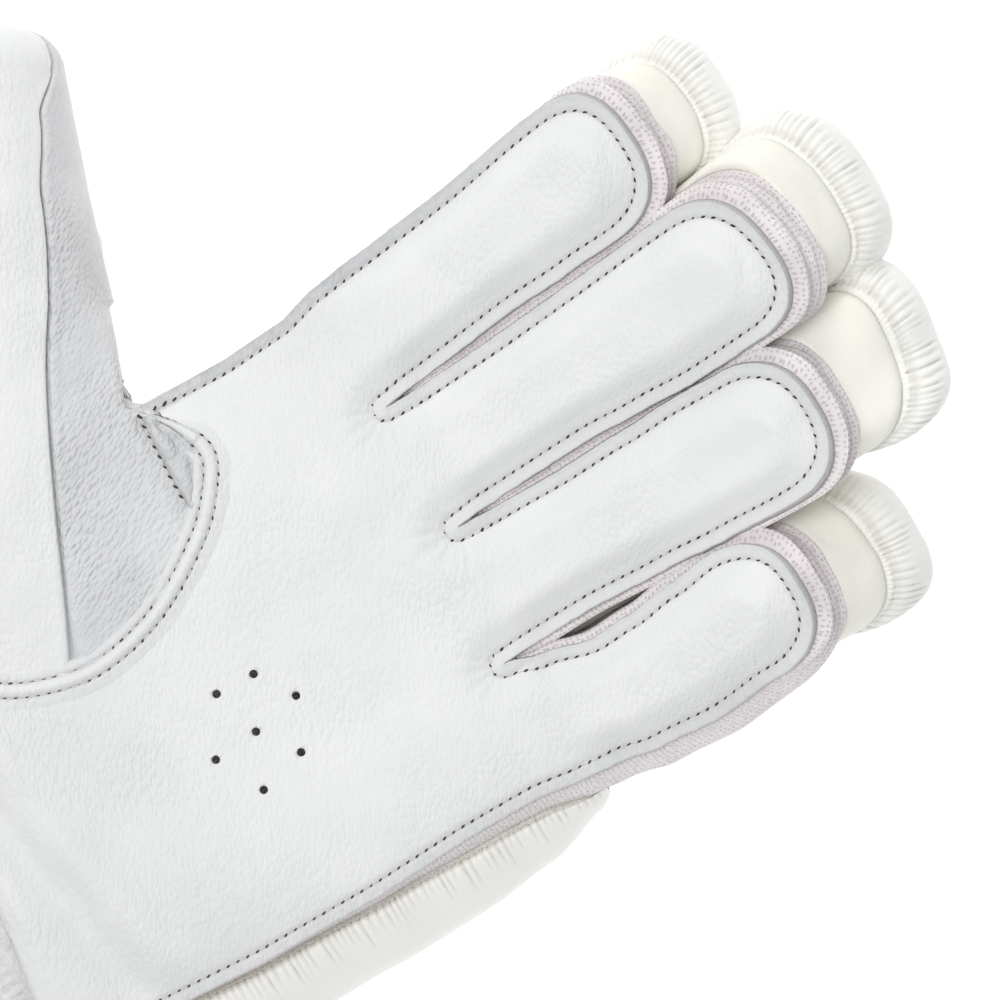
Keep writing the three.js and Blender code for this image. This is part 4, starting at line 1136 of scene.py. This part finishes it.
# %% [markdown]
# ## Bolster along the little finger's side
#
# A long round roll, whose leather is gathered along its seam with the knit.

# %% Side bolster
# Across and down, as shares of its width and depth.
BOLSTER_SECTION = [
    (-0.1, 0.0), (-0.12, -0.3), (-0.06, -0.52), (0.0, -0.6), (0.05, -0.615), (0.14, -0.63), (0.3, -0.6),
    (0.52, -0.53), (0.74, -0.42), (0.92, -0.25), (1.0, 0.0), (0.96, 0.2), (0.76, 0.4), (0.4, 0.5),
    (0.08, 0.44), (-0.08, 0.25), (-0.1, 0.0),
]
# From and to are shares of the palm's length; end is the length of its rounded ends.
BOLSTER = {"from": 0.05, "to": 1.03, "depth": 27, "middle": 26.1, "end": 11}
BOLSTER_COLUMNS = 560
BOLSTER_ROWS = 64
bolster_length = PALM_LENGTH * (BOLSTER["to"] - BOLSTER["from"])
# x of its outer side, by y.
BOLSTER_OUTER = [(-130, 66), (-79, 66.2), (-60, 67.2), (-45, 67.4), (-31, 66.4), (-16, 63.5), (-10, 62)]


def bolster_start(share):
    """At a share of its length: length so far, share of its full size, and plan point of the palm's edge."""
    s = share * bolster_length
    x, y = palm_point(1, mix(BOLSTER["from"], BOLSTER["to"], share))
    return s, round_end(min(s, bolster_length - s), BOLSTER["end"]), x, y


def place_bolster(i, j):
    s, full, x, y = bolster_start(i / BOLSTER_COLUMNS)
    x += lookup(LITTLE_REACH, y) + 0.3
    outer = max(x + 5, lookup(BOLSTER_OUTER, y))
    across_share, down = spline(BOLSTER_SECTION, j / BOLSTER_ROWS)
    strength = min(1, max(0, 0.55 + 1.2 * noise.noise(Vector((s / 2.6, 4, 1)))))
    reach = mix(0.16, 0.62, strength)
    gather = (1 - smooth((across_share - 0.25 * reach) / reach)) * (down < 0.1)
    phase = math.pi * s / 1.5 + 2.6 * noise.noise(Vector((s / 7, 0, 2))) + 0.8 * across_share
    crease = 1 - abs(math.sin(phase)) ** 0.62
    ripple = (0.2 - 1.0 * crease) * mix(0.5, 1, strength) * gather * smooth((across_share + 0.02) / 0.05)
    ripple += 0.35 * wobble(s, across_share * 14, 8, 2.2)
    seam = bell(across_share - 0.02, 0.045) * (down < 0)
    wide = mix(0.3, 1, full) * (outer - x) + ripple * 0.4
    deep = mix(0.62, 1, full) * BOLSTER["depth"]
    depth = BOLSTER["middle"] + down * deep - ripple * (down < 0) + 0.9 * seam
    # Painted shade in the creases of the gathers and along the seam.
    grey = 0.8 * gather * crease**2 * mix(0.5, 1, strength) + 0.3 * seam
    return curl(x + across_share * wide, y, depth), (s, 40 * down, min(1, grey))


def bolster_seam(share):
    """A place in the seam between the knit and the bolster."""
    _, full, x, y = bolster_start(share)
    depth = BOLSTER["middle"] - 0.61 * mix(0.62, 1, full) * BOLSTER["depth"]
    return curl(x + lookup(LITTLE_REACH, y) + 0.55, y, depth + 0.45)


grid = BOLSTER_COLUMNS, BOLSTER_ROWS, place_bolster
bolster = grid_piece("side_bolster", *grid, roll_leather, "roll_leather", ["side_roll"], 0.02)
cream_threads = []
pale_holes = []
seam_row = [bolster_seam(mix(0.04, 0.95, i / 110)) for i in range(111)]
print("bolster stitches:", sew(seam_row, [TOP] * len(seam_row), 2.0, cream_threads, pale_holes))

# %% [markdown]
# ## Thumb
#
# Three shaped panels meet in turned seams: a smooth front, a pebbled side towards the index finger and a
# cream back. Each panel dips into its seams and carries painted shade along them, so that a seam shows as a
# sharp dark line.

# %% Shape of the thumb
# x and y are its root in half palms, angle its direction; sink and tip are shares of its depth and length.
THUMB = {
    "length": 92, "width": 46, "depth": 39, "x": -0.8, "y": -1.53, "angle": 153, "sink": 0.45, "tip": 0.12
}
# Shares of its width and depth, and its lift as a share of its depth, along it.
THUMB_WIDE = [(0, 1.12), (0.25, 1.06), (0.5, 0.99), (0.75, 0.87), (0.9, 0.82), (1, 0.79)]
THUMB_DEEP = [(0, 1.06), (0.25, 1.04), (0.5, 1), (0.75, 0.92), (0.9, 0.82), (1, 0.76)]
THUMB_LIFT = [(0, 0), (0.25, 0.06), (0.5, 0.13), (0.75, 0.2), (0.9, 0.25), (1, 0.27)]
# The three seams: degrees round the thumb, along it.
FRONT_SEAM = [(0, 58), (0.41, 65), (0.73, 56), (0.9, 47), (1.03, 24), (1.12, 2)]
SIDE_SEAM = [(0, -38), (1.12, -38)]
BACK_SEAM = [(0, 188), (1.12, 188)]
# Mouth of the thumb away from the palm: angle, x and y in half palms, depth in millimetres.
MOUTH = [
    (-88, -1.07, -1.5, 30.5), (-60, -1.07, -1.2, 30), (-38, -1.07, -1.0, 23.8), (-20, -1.04, -0.945, 12),
    (-5, -0.985, -0.935, 1.6), (188, -1.06, -2.13, 12.6), (215, -1.07, -2.08, 23), (240, -1.07, -1.9, 30),
    (272, -1.07, -1.5, 30.5),
]
heading = math.radians(THUMB["angle"])
thumb_along = Vector((math.cos(heading), math.sin(heading), 0))
thumb_across = Vector((thumb_along.y, -thumb_along.x, 0))
# From here on the thumb is free of the hand, as a share of its length.
THUMB_FREE = 0.5
# Radius of the web between thumb and palm, and its corner in half palms.
WEB_ROUND = 1.1
WEB_CORNER = (-1.005, -0.945)


def flattened(n):
    return math.copysign(abs(n) ** 0.88, n)


def thumb_round(s, angle, out):
    """A point of the thumb beyond the palm, in millimetres."""
    a = math.radians(angle)
    past = max(0, s - 1) / THUMB["tip"]
    scale = math.sqrt(max(0, 1 - past**2.4))
    half = max(0, lookup(THUMB_WIDE, s, straight) * THUMB["width"] / 2 + out) * scale
    rise = max(0, lookup(THUMB_DEEP, s, straight) * THUMB["depth"] / 2 + out) * scale
    centre = Vector((THUMB["x"] * HALF_PALM, THUMB["y"] * HALF_PALM, PALM_HEIGHT))
    centre += thumb_along * (s * THUMB["length"] + (out * past if s > 1 else 0))
    lift = (lookup(THUMB_LIFT, s) - THUMB["sink"]) * THUMB["depth"] + rise * flattened(math.sin(a))
    return centre + thumb_across * (half * flattened(math.cos(a))) + Vector((0, 0, lift))


def thumb_mouth(angle, out):
    """A point where the thumb meets the hand, in millimetres."""
    k = angle - 360 if angle > 272 else angle
    if -5 <= k <= 168:
        share = mix(0.03, 0.59, (k + 5) / 63) if k < 58 else mix(0.59, 0.985, (k - 58) / 110)
        x, y = seam_point(share, -0.4)
        depth = abs(x / HALF_PALM) ** 5 * RIM + 0.6
        return Vector((x, y, PALM_HEIGHT - depth + out))
    x, y, depth = [lookup([(m[0], m[n]) for m in MOUTH], k, straight) for n in (1, 2, 3)]
    a = math.radians(k)
    return Vector((x * HALF_PALM, y * HALF_PALM + out * math.cos(a), PALM_HEIGHT - depth + out * math.sin(a)))


def thumb_skin(s, angle, out):
    """A point of the thumb's skin, which runs from its mouth to the free thumb and stays clear of the web."""
    if s >= THUMB_FREE:
        return thumb_round(s, angle, out)
    p = thumb_mouth(angle, out).lerp(thumb_round(THUMB_FREE, angle, out), s / THUMB_FREE)
    p.z += 1.6 * math.sin(math.pi * s / THUMB_FREE) * max(0, math.sin(math.radians(angle)))
    web_x = p.x - WEB_CORNER[0] * HALF_PALM
    limit = WEB_CORNER[1] * HALF_PALM + (-0.43 if web_x < 0 else 0.8) * web_x + out
    over = (p.y - limit) / WEB_ROUND
    p.y = limit - WEB_ROUND * (math.log1p(math.exp(-over)) if over > -20 else -over)
    return p


def line_distance(x, y, corners):
    """Distance of a plan point to a line of straight stretches."""
    nearest = math.inf
    for a, b in zip(corners, corners[1:]):
        ab = Vector(b) - Vector(a)
        ap = Vector((x, y)) - Vector(a)
        share = min(1, max(0, ap.dot(ab) / ab.length_squared))
        nearest = min(nearest, (ap - ab * share).length)
    return nearest


# Below the insert at the crotch the side panel dips along the insert's seam and along a fold.
WEB_SEAM = [(-51.5, -51.0), (-42, -51.6), (-31, -52.8)]
WEB_FOLD = [(-48.6, -47.9), (-43.8, -46.6), (-39.4, -46.4), (-35.5, -47.8), (-32.6, -50.4)]


def web_relief(x, y):
    """Height and painted shade, as greyness, of the side panel at the crotch: shade in the insert's seam and
    in the fold.
    """
    seam = line_distance(x, y, WEB_SEAM)
    fold = line_distance(x, y, WEB_FOLD)
    height = -0.7 * bell(seam, 0.7) - 1.1 * bell(fold, 0.8) + 0.35 * bell(seam - 2.2, 1.2)
    return height, 0.35 * bell(seam, 0.7) + 0.5 * bell(fold, 0.6)


# %% Thumb panels
# Rows along the thumb, closer together where its tip closes.
THUMB_ROWS = [i / 110 for i in range(110)]
THUMB_ROWS += [1, 1.015, 1.03, 1.045, 1.06, 1.075, 1.087, 1.097, 1.105, 1.111, 1.115, 1.118, 1.1195, 1.12]


def thumb_panel(name, low, high, columns, finish, slot, turn=0):
    """A panel between two seams, with its columns closer together beside them."""

    def place(i, j):
        s = THUMB_ROWS[j]
        a0, a1 = lookup(low, s), lookup(high, s) + turn
        angle = mix(a0, a1, 0.5 - 0.5 * math.cos(math.pi * i / columns))
        girth = 0.5 * THUMB["width"] * lookup(THUMB_WIDE, s) * (1 if s < 1 else 0.5)
        side = math.radians(min(angle - a0, a1 - angle)) * girth
        out = -1.2 * bell(side, 0.4) + 0.15 * bell(side - 1.6, 0.9)
        at = thumb_skin(s, angle, 0)
        out += 0.3 * noise.noise(at * 0.07) + 0.1 * noise.noise(at * 0.23)
        # Painted shade along the seams.
        grey = 1.2 * bell(side, 0.3)
        if at.x > -56 and 0 < s < 0.4:
            height, more = web_relief(at.x, at.y)
            out += height * smooth(s * 25)
            grey = max(grey, more)
        at = thumb_skin(s, angle, out)
        return (at + SHIFT) * MM, (s * 100, angle, grey)

    made = grid_piece(name + "_leather", columns, len(THUMB_ROWS) - 1, place, finish, slot, [name])
    return thicken(made, 1.4)


side_panel = thumb_panel("thumb_side", SIDE_SEAM, FRONT_SEAM, 84, thumb_leather, "thumb_leather")
thumb_panel("thumb_front", FRONT_SEAM, BACK_SEAM, 84, palm_leather, "palm_leather")
thumb_panel("thumb_back", BACK_SEAM, SIDE_SEAM, 64, cream_leather, "cream_leather", 360)
print("thumb panels: 3")

# %% [markdown]
# ## Insert at the crotch of the thumb
#
# A small leaf of wrinkled leather fills the corner between thumb and palm. Its left edge is sewn down, its
# right one runs under the welt. It is laid on the side panel, whose height is felt for with a ray from above.

# %% Insert between thumb and palm
LEAF_LEFT = [(-52.2, -50.4), (-48.5, -50.9), (-44.5, -51.3), (-40.5, -51.7), (-36.5, -52.0), (-32.4, -52.2)]
LEAF_RIGHT = [(-52.0, -49.9), (-48.6, -47.4), (-44.2, -45.6), (-39.4, -45.2), (-34.8, -47.0), (-31.6, -51.6)]


def on_panel(x, y, lift):
    """A place on the thumb's side panel, lift millimetres above it."""
    start = (Vector((x, y, PALM_HEIGHT + 40)) + SHIFT) * MM
    hit, place, _, _ = side_panel.ray_cast(start, Vector((0, 0, -1)))
    return place + Vector((0, 0, lift * MM)) if hit else curl(x, y, 2)


LEAF_COLUMNS = 60
LEAF_ROWS = 24


def place_leaf(i, j):
    along, share = i / LEAF_COLUMNS, j / LEAF_ROWS
    x0, y0 = spline(LEAF_LEFT, along)
    x1, y1 = spline(LEAF_RIGHT, along)
    x, y = mix(x0, x1, share), mix(y0, y1, share)
    wide = math.hypot(x1 - x0, y1 - y0)
    from_left = share * wide
    lift = 0.75 * smooth(from_left / 1.3) - 0.05 + 0.5 * smooth(from_left / 3)
    lift += (0.3 * wobble(x, y, 2.4, 3) + 0.3 * wobble(x + y, y * 3, 4, 8)) * smooth(from_left)
    # Painted shade along the sewn-down left edge, on a grey tone of its own with random variation.
    return on_panel(x, y, lift), (x, y, 0.28 + 0.6 * bell(from_left, 0.5) + 0.2 * wobble(x, y, 3, 1))


bpy.context.view_layer.update()
grid = LEAF_COLUMNS, LEAF_ROWS, place_leaf
thicken(grid_piece("thumb_insert_leather", *grid, thumb_leather, "thumb_leather", (), 0.01, TOP), 0.5)
leaf_row = [on_panel(*spline(LEAF_LEFT, i / 40), 0.12) for i in range(41)]
print("insert stitches:", sew(leaf_row, [TOP] * len(leaf_row)))

# %% [markdown]
# ## Back of the hand
#
# A cream leather shell closes the back of the hand, and the padding rolls are sewn on it.

# %% Back of the hand
# Down a side: inset and share of the depth.
HAND_SECTION = [(1.6, 0), (0.6, 0.2), (0, 0.62), (0.7, 0.88), (2.6, 1)]
# How far its left and its right side stand out from the palm, in millimetres.
HAND_SIDES = (1.2, 2.2)
HAND_COLUMNS = 96
HAND_ROWS = 90
SIDE_COLUMNS = 24
# The shares from the wrist between which its left side is open for the thumb.
THUMB_GAP = (0.03, 0.605)


def place_hand(i, j):
    t = j / HAND_ROWS
    k = min(i, HAND_COLUMNS - i)
    c_side = 0 if i < HAND_COLUMNS / 2 else 1
    if k <= SIDE_COLUMNS:
        inset, down = spline(HAND_SECTION, k / SIDE_COLUMNS)
        x, y = palm_point(c_side, t, HAND_SIDES[c_side] - inset)
    else:
        inset, down = HAND_SECTION[-1]
        left, right = [palm_point(n, t, HAND_SIDES[n] - inset)[0] for n in (0, 1)]
        share = (i - SIDE_COLUMNS) / (HAND_COLUMNS - 2 * SIDE_COLUMNS)
        x, y = mix(left, right, share), palm_point(share, t)[1]
    opened = smooth((t - THUMB_GAP[0]) / 0.01) * smooth((THUMB_GAP[1] - t) / 0.01)
    if c_side == 0:
        down = mix(down, max(down, 0.86), opened)
    floor_depth = mix(HAND_FLOOR, FINGER_FLOOR, min(1, max(0, (t - RAMP) / (1 - RAMP))))
    depth = mix(BACK_RIM, floor_depth + BACK_WALL, down)
    # Painted shade along the shell's top edge, under the palm leather.
    return curl(x, y - (CLEARANCE if t == 1 else 0), depth), (x, y, 0.2 * bell(down, 0.1))


grid = HAND_COLUMNS, HAND_ROWS, place_hand
hand_back = grid_piece("hand_back_leather", *grid, cream_leather, "cream_leather", ["hand_back"], 0.01, -TOP)
thicken(hand_back, 1.5)

# %% [markdown]
# ## Padding rolls
#
# The other rolls are stuffed leather pockets. Each starts as its solid in the frame, a little slack, and a
# cloth simulation blows it up, with its swell capped, which gives it the swell and dents of real stuffing.

# %% Blow up the rolls
ROLL_NODES = [f"{f['name']}_roll_{part}" for f in FINGERS for part in ("base", "middle")]
ROLL_NODES += [f"hand_roll_{f['name']}" for f in FINGERS] + ["thumb_roll_base", "thumb_roll_tip"]
# In millimetres: faces on the fingers and on the hand, the largest swell, the least height over the floor.
FINGER_FACE = 2.6
HAND_FACE = 3.4
LARGEST_SWELL = 1.3
LOWEST = 0.05
CLOTH_FRAMES = 20
STUFFING = {
    "quality": 5, "mass": 0.15, "tension_stiffness": 25, "compression_stiffness": 15,
    "bending_stiffness": 0.6, "use_pressure": True, "uniform_pressure_force": 4,
}
rolls = []
for name in ROLL_NODES:
    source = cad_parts[name]
    bm = bmesh.new()
    bm.from_mesh(source.data)
    bm.transform(source.matrix_world)
    made = piece(name + "_leather", bm, [roll_leather], [name], 0.001)
    remesh = made.modifiers.new("even_faces", "REMESH")
    remesh.mode = "VOXEL"
    remesh.voxel_size = (HAND_FACE if name.startswith("hand") else FINGER_FACE) * MM
    apply_modifiers(made)
    bm = bmesh.new()
    bm.from_mesh(made.data)
    for _ in range(3):
        axes = {f"use_axis_{axis}": True for axis in "xyz"}
        bmesh.ops.smooth_vert(bm, verts=bm.verts, factor=0.5, **axes)
    bm.to_mesh(made.data)
    bm.free()
    made.data.shade_smooth()
    rolls.append(made)

before = {}
for made in rolls:
    before[made.name] = [v.co.copy() for v in made.data.vertices]
    cloth = made.modifiers.new("stuffing", "CLOTH")
    for key, value in STUFFING.items():
        setattr(cloth.settings, key, value)
    cloth.settings.effector_weights.gravity = 0
    cloth.point_cache.frame_start = 1
    cloth.point_cache.frame_end = CLOTH_FRAMES
for number in range(1, CLOTH_FRAMES + 1):
    bpy.context.scene.frame_set(number)
for made in rolls:
    apply_modifiers(made)
    for v, start in zip(made.data.vertices, before[made.name]):
        move = v.co - start
        if move.length > LARGEST_SWELL * MM:
            move *= LARGEST_SWELL * MM / move.length
        v.co = start + move
        v.co.z = max(v.co.z, LOWEST * MM)
bpy.context.scene.frame_set(1)
for made in rolls:
    made.data.shade_smooth()
    finer = made.modifiers.new("smooth_leather", "SUBSURF")
    finer.levels = 1
    finer.render_levels = 1
print("padding rolls:", len(rolls))

# %% [markdown]
# ## Cuff and strap
#
# The cuff is a tube of nubby towelling, and an elastic strap is sewn round its back.

# %% Cuff and strap
CUFF_LENGTH = 56
CUFF_WALL = 3
CUFF_COLUMNS = 260
CUFF_ROWS = 90
STRAP_COLUMNS = 150
STRAP_ROWS = 44
# Its thickness, the shares of the cuff's length that it covers, and the turns at which it starts and ends.
STRAP = {"wall": 2.4, "from": 0.34, "to": 0.975, "start": 13 / 28, "end": 29 / 28}


def cuff_point(share, out, turn):
    """A point of the cuff: share of its length, out from its surface, turn from 0 to 1 round it."""
    half = mix(0.815, 0.87, share) * HALF_PALM - 2
    widening = smooth(share * 1.2 - 0.2)
    top = mix(LEATHER + 1.66, -2, widening)
    bottom = HAND_FLOOR + mix(-0.72, 6, widening)
    a = turn * 2 * math.pi
    x = math.copysign(abs(math.cos(a)) ** 0.75, math.cos(a)) * (half + out)
    d = (top + bottom) / 2 - math.copysign(abs(math.sin(a)) ** 0.75, math.sin(a)) * ((bottom - top) / 2 + out)
    return curl(x, palm_point(0.5, CUFF_JOIN)[1] - share * CUFF_LENGTH, d)


def place_cuff(i, j):
    """Down the outside, round the hem and up the inside, in nubs."""
    share = j / CUFF_ROWS
    down = min(1, 2 * share, 2 - 2 * share)
    out = -0.3 if share < 0.5 else -CUFF_WALL
    nub = 0.45 * math.sin(i * 2.1 + (j % 2) * 1.6) * math.sin(j * 2.4) + 0.5 * wobble(i, j * 2, 2.3, 5)
    return cuff_point(down, out + nub, i / CUFF_COLUMNS), (i, j, 0)


def place_strap(i, j):
    """Up the strap's edge, over its ribs and down its other edge."""
    share = mix(STRAP["from"], STRAP["to"], min(1, max(0, (j - 2) / (STRAP_ROWS - 4))))
    edge = bell(min(j - 2, STRAP_ROWS - 2 - j), 2.5)
    out = 0.5 if j in (0, STRAP_ROWS) else 0.45 + STRAP["wall"] * (1 - 0.35 * edge) + 0.12 * math.sin(j * 1.7)
    return cuff_point(share, out, mix(STRAP["start"], STRAP["end"], i / STRAP_COLUMNS)), (i, j, 0)


grid_piece("cuff_towelling", CUFF_COLUMNS, CUFF_ROWS, place_cuff, towelling, "towelling", ["cuff"], 0.02)
grid = STRAP_COLUMNS, STRAP_ROWS, place_strap
thicken(grid_piece("wrist_strap_web", *grid, strap_web, "strap", ["wrist_strap"]), 1.2)

# %% Gather the stitches
beads_piece("palm_stitches", threads, thread)
beads_piece("needle_holes", holes, hole_shade)
beads_piece("bolster_stitches", cream_threads, cream_thread)
# Grey beads: painted shade inside the bolster's needle holes.
beads_piece("bolster_needle_holes", pale_holes, flesh_side)

# %% [markdown]
# ## Camera, light and floor
#
# The photograph looks straight down on the palm from far away, with the fingers towards the upper right. The
# light is a wide soft box over the glove, with a little from all round, so that slopes turn gently grey.

# %% Camera, soft light, floor
# The camera's distance and the width that it sees, in metres, its turn in degrees, its sensor in millimetres.
CAMERA_DISTANCE = 1.3
FRAME_WIDTH = 0.19608
ROLL = 57
SENSOR = 36
LAMPS_FACE = Vector((0.03, 0.02, 0.04))
camera_data = bpy.data.cameras.new("camera")
camera = add_object("camera", camera_data)
camera_data.sensor_width = SENSOR
camera_data.lens = SENSOR * CAMERA_DISTANCE / FRAME_WIDTH
camera.location = SHIFT * MM + Vector((0, 0, PALM_HEIGHT * MM + CAMERA_DISTANCE))
camera.rotation_euler = (0, 0, math.radians(ROLL))
bpy.context.scene.camera = camera
bpy.context.scene.view_settings.view_transform = "Standard"

world = bpy.data.worlds.new("studio")
bpy.context.scene.world = world
world.use_nodes = True
background = world.node_tree.nodes["Background"].inputs
background["Color"].default_value = (0.98, 0.99, 1, 1)
background["Strength"].default_value = 0.5


def area_light(name, place, size, power):
    """A square lamp that faces the glove."""
    data = bpy.data.lights.new(name, "AREA")
    data.size = size
    data.energy = power
    light = add_object(name, data)
    light.location = place
    light.rotation_mode = "QUATERNION"
    light.rotation_quaternion = (LAMPS_FACE - Vector(place)).to_track_quat("-Z", "Y")


area_light("soft_box", (-0.22, -0.32, 1.4), 0.7, 9.1)
area_light("side_light", (-0.9, 0.5, 0.5), 0.35, 2.4)

bm = bmesh.new()
bmesh.ops.create_grid(bm, x_segments=1, y_segments=1, size=6)
floor = add_mesh("floor", bm)
floor.location.z = -0.0002
floor_finish, _, floor_shader = blank("pale_floor", (0.9, 0.9, 0.9), 0.9)
floor_shader.inputs["Emission Color"].default_value = (1, 1, 1, 1)
floor_shader.inputs["Emission Strength"].default_value = 0.45
floor.data.materials.append(floor_finish)
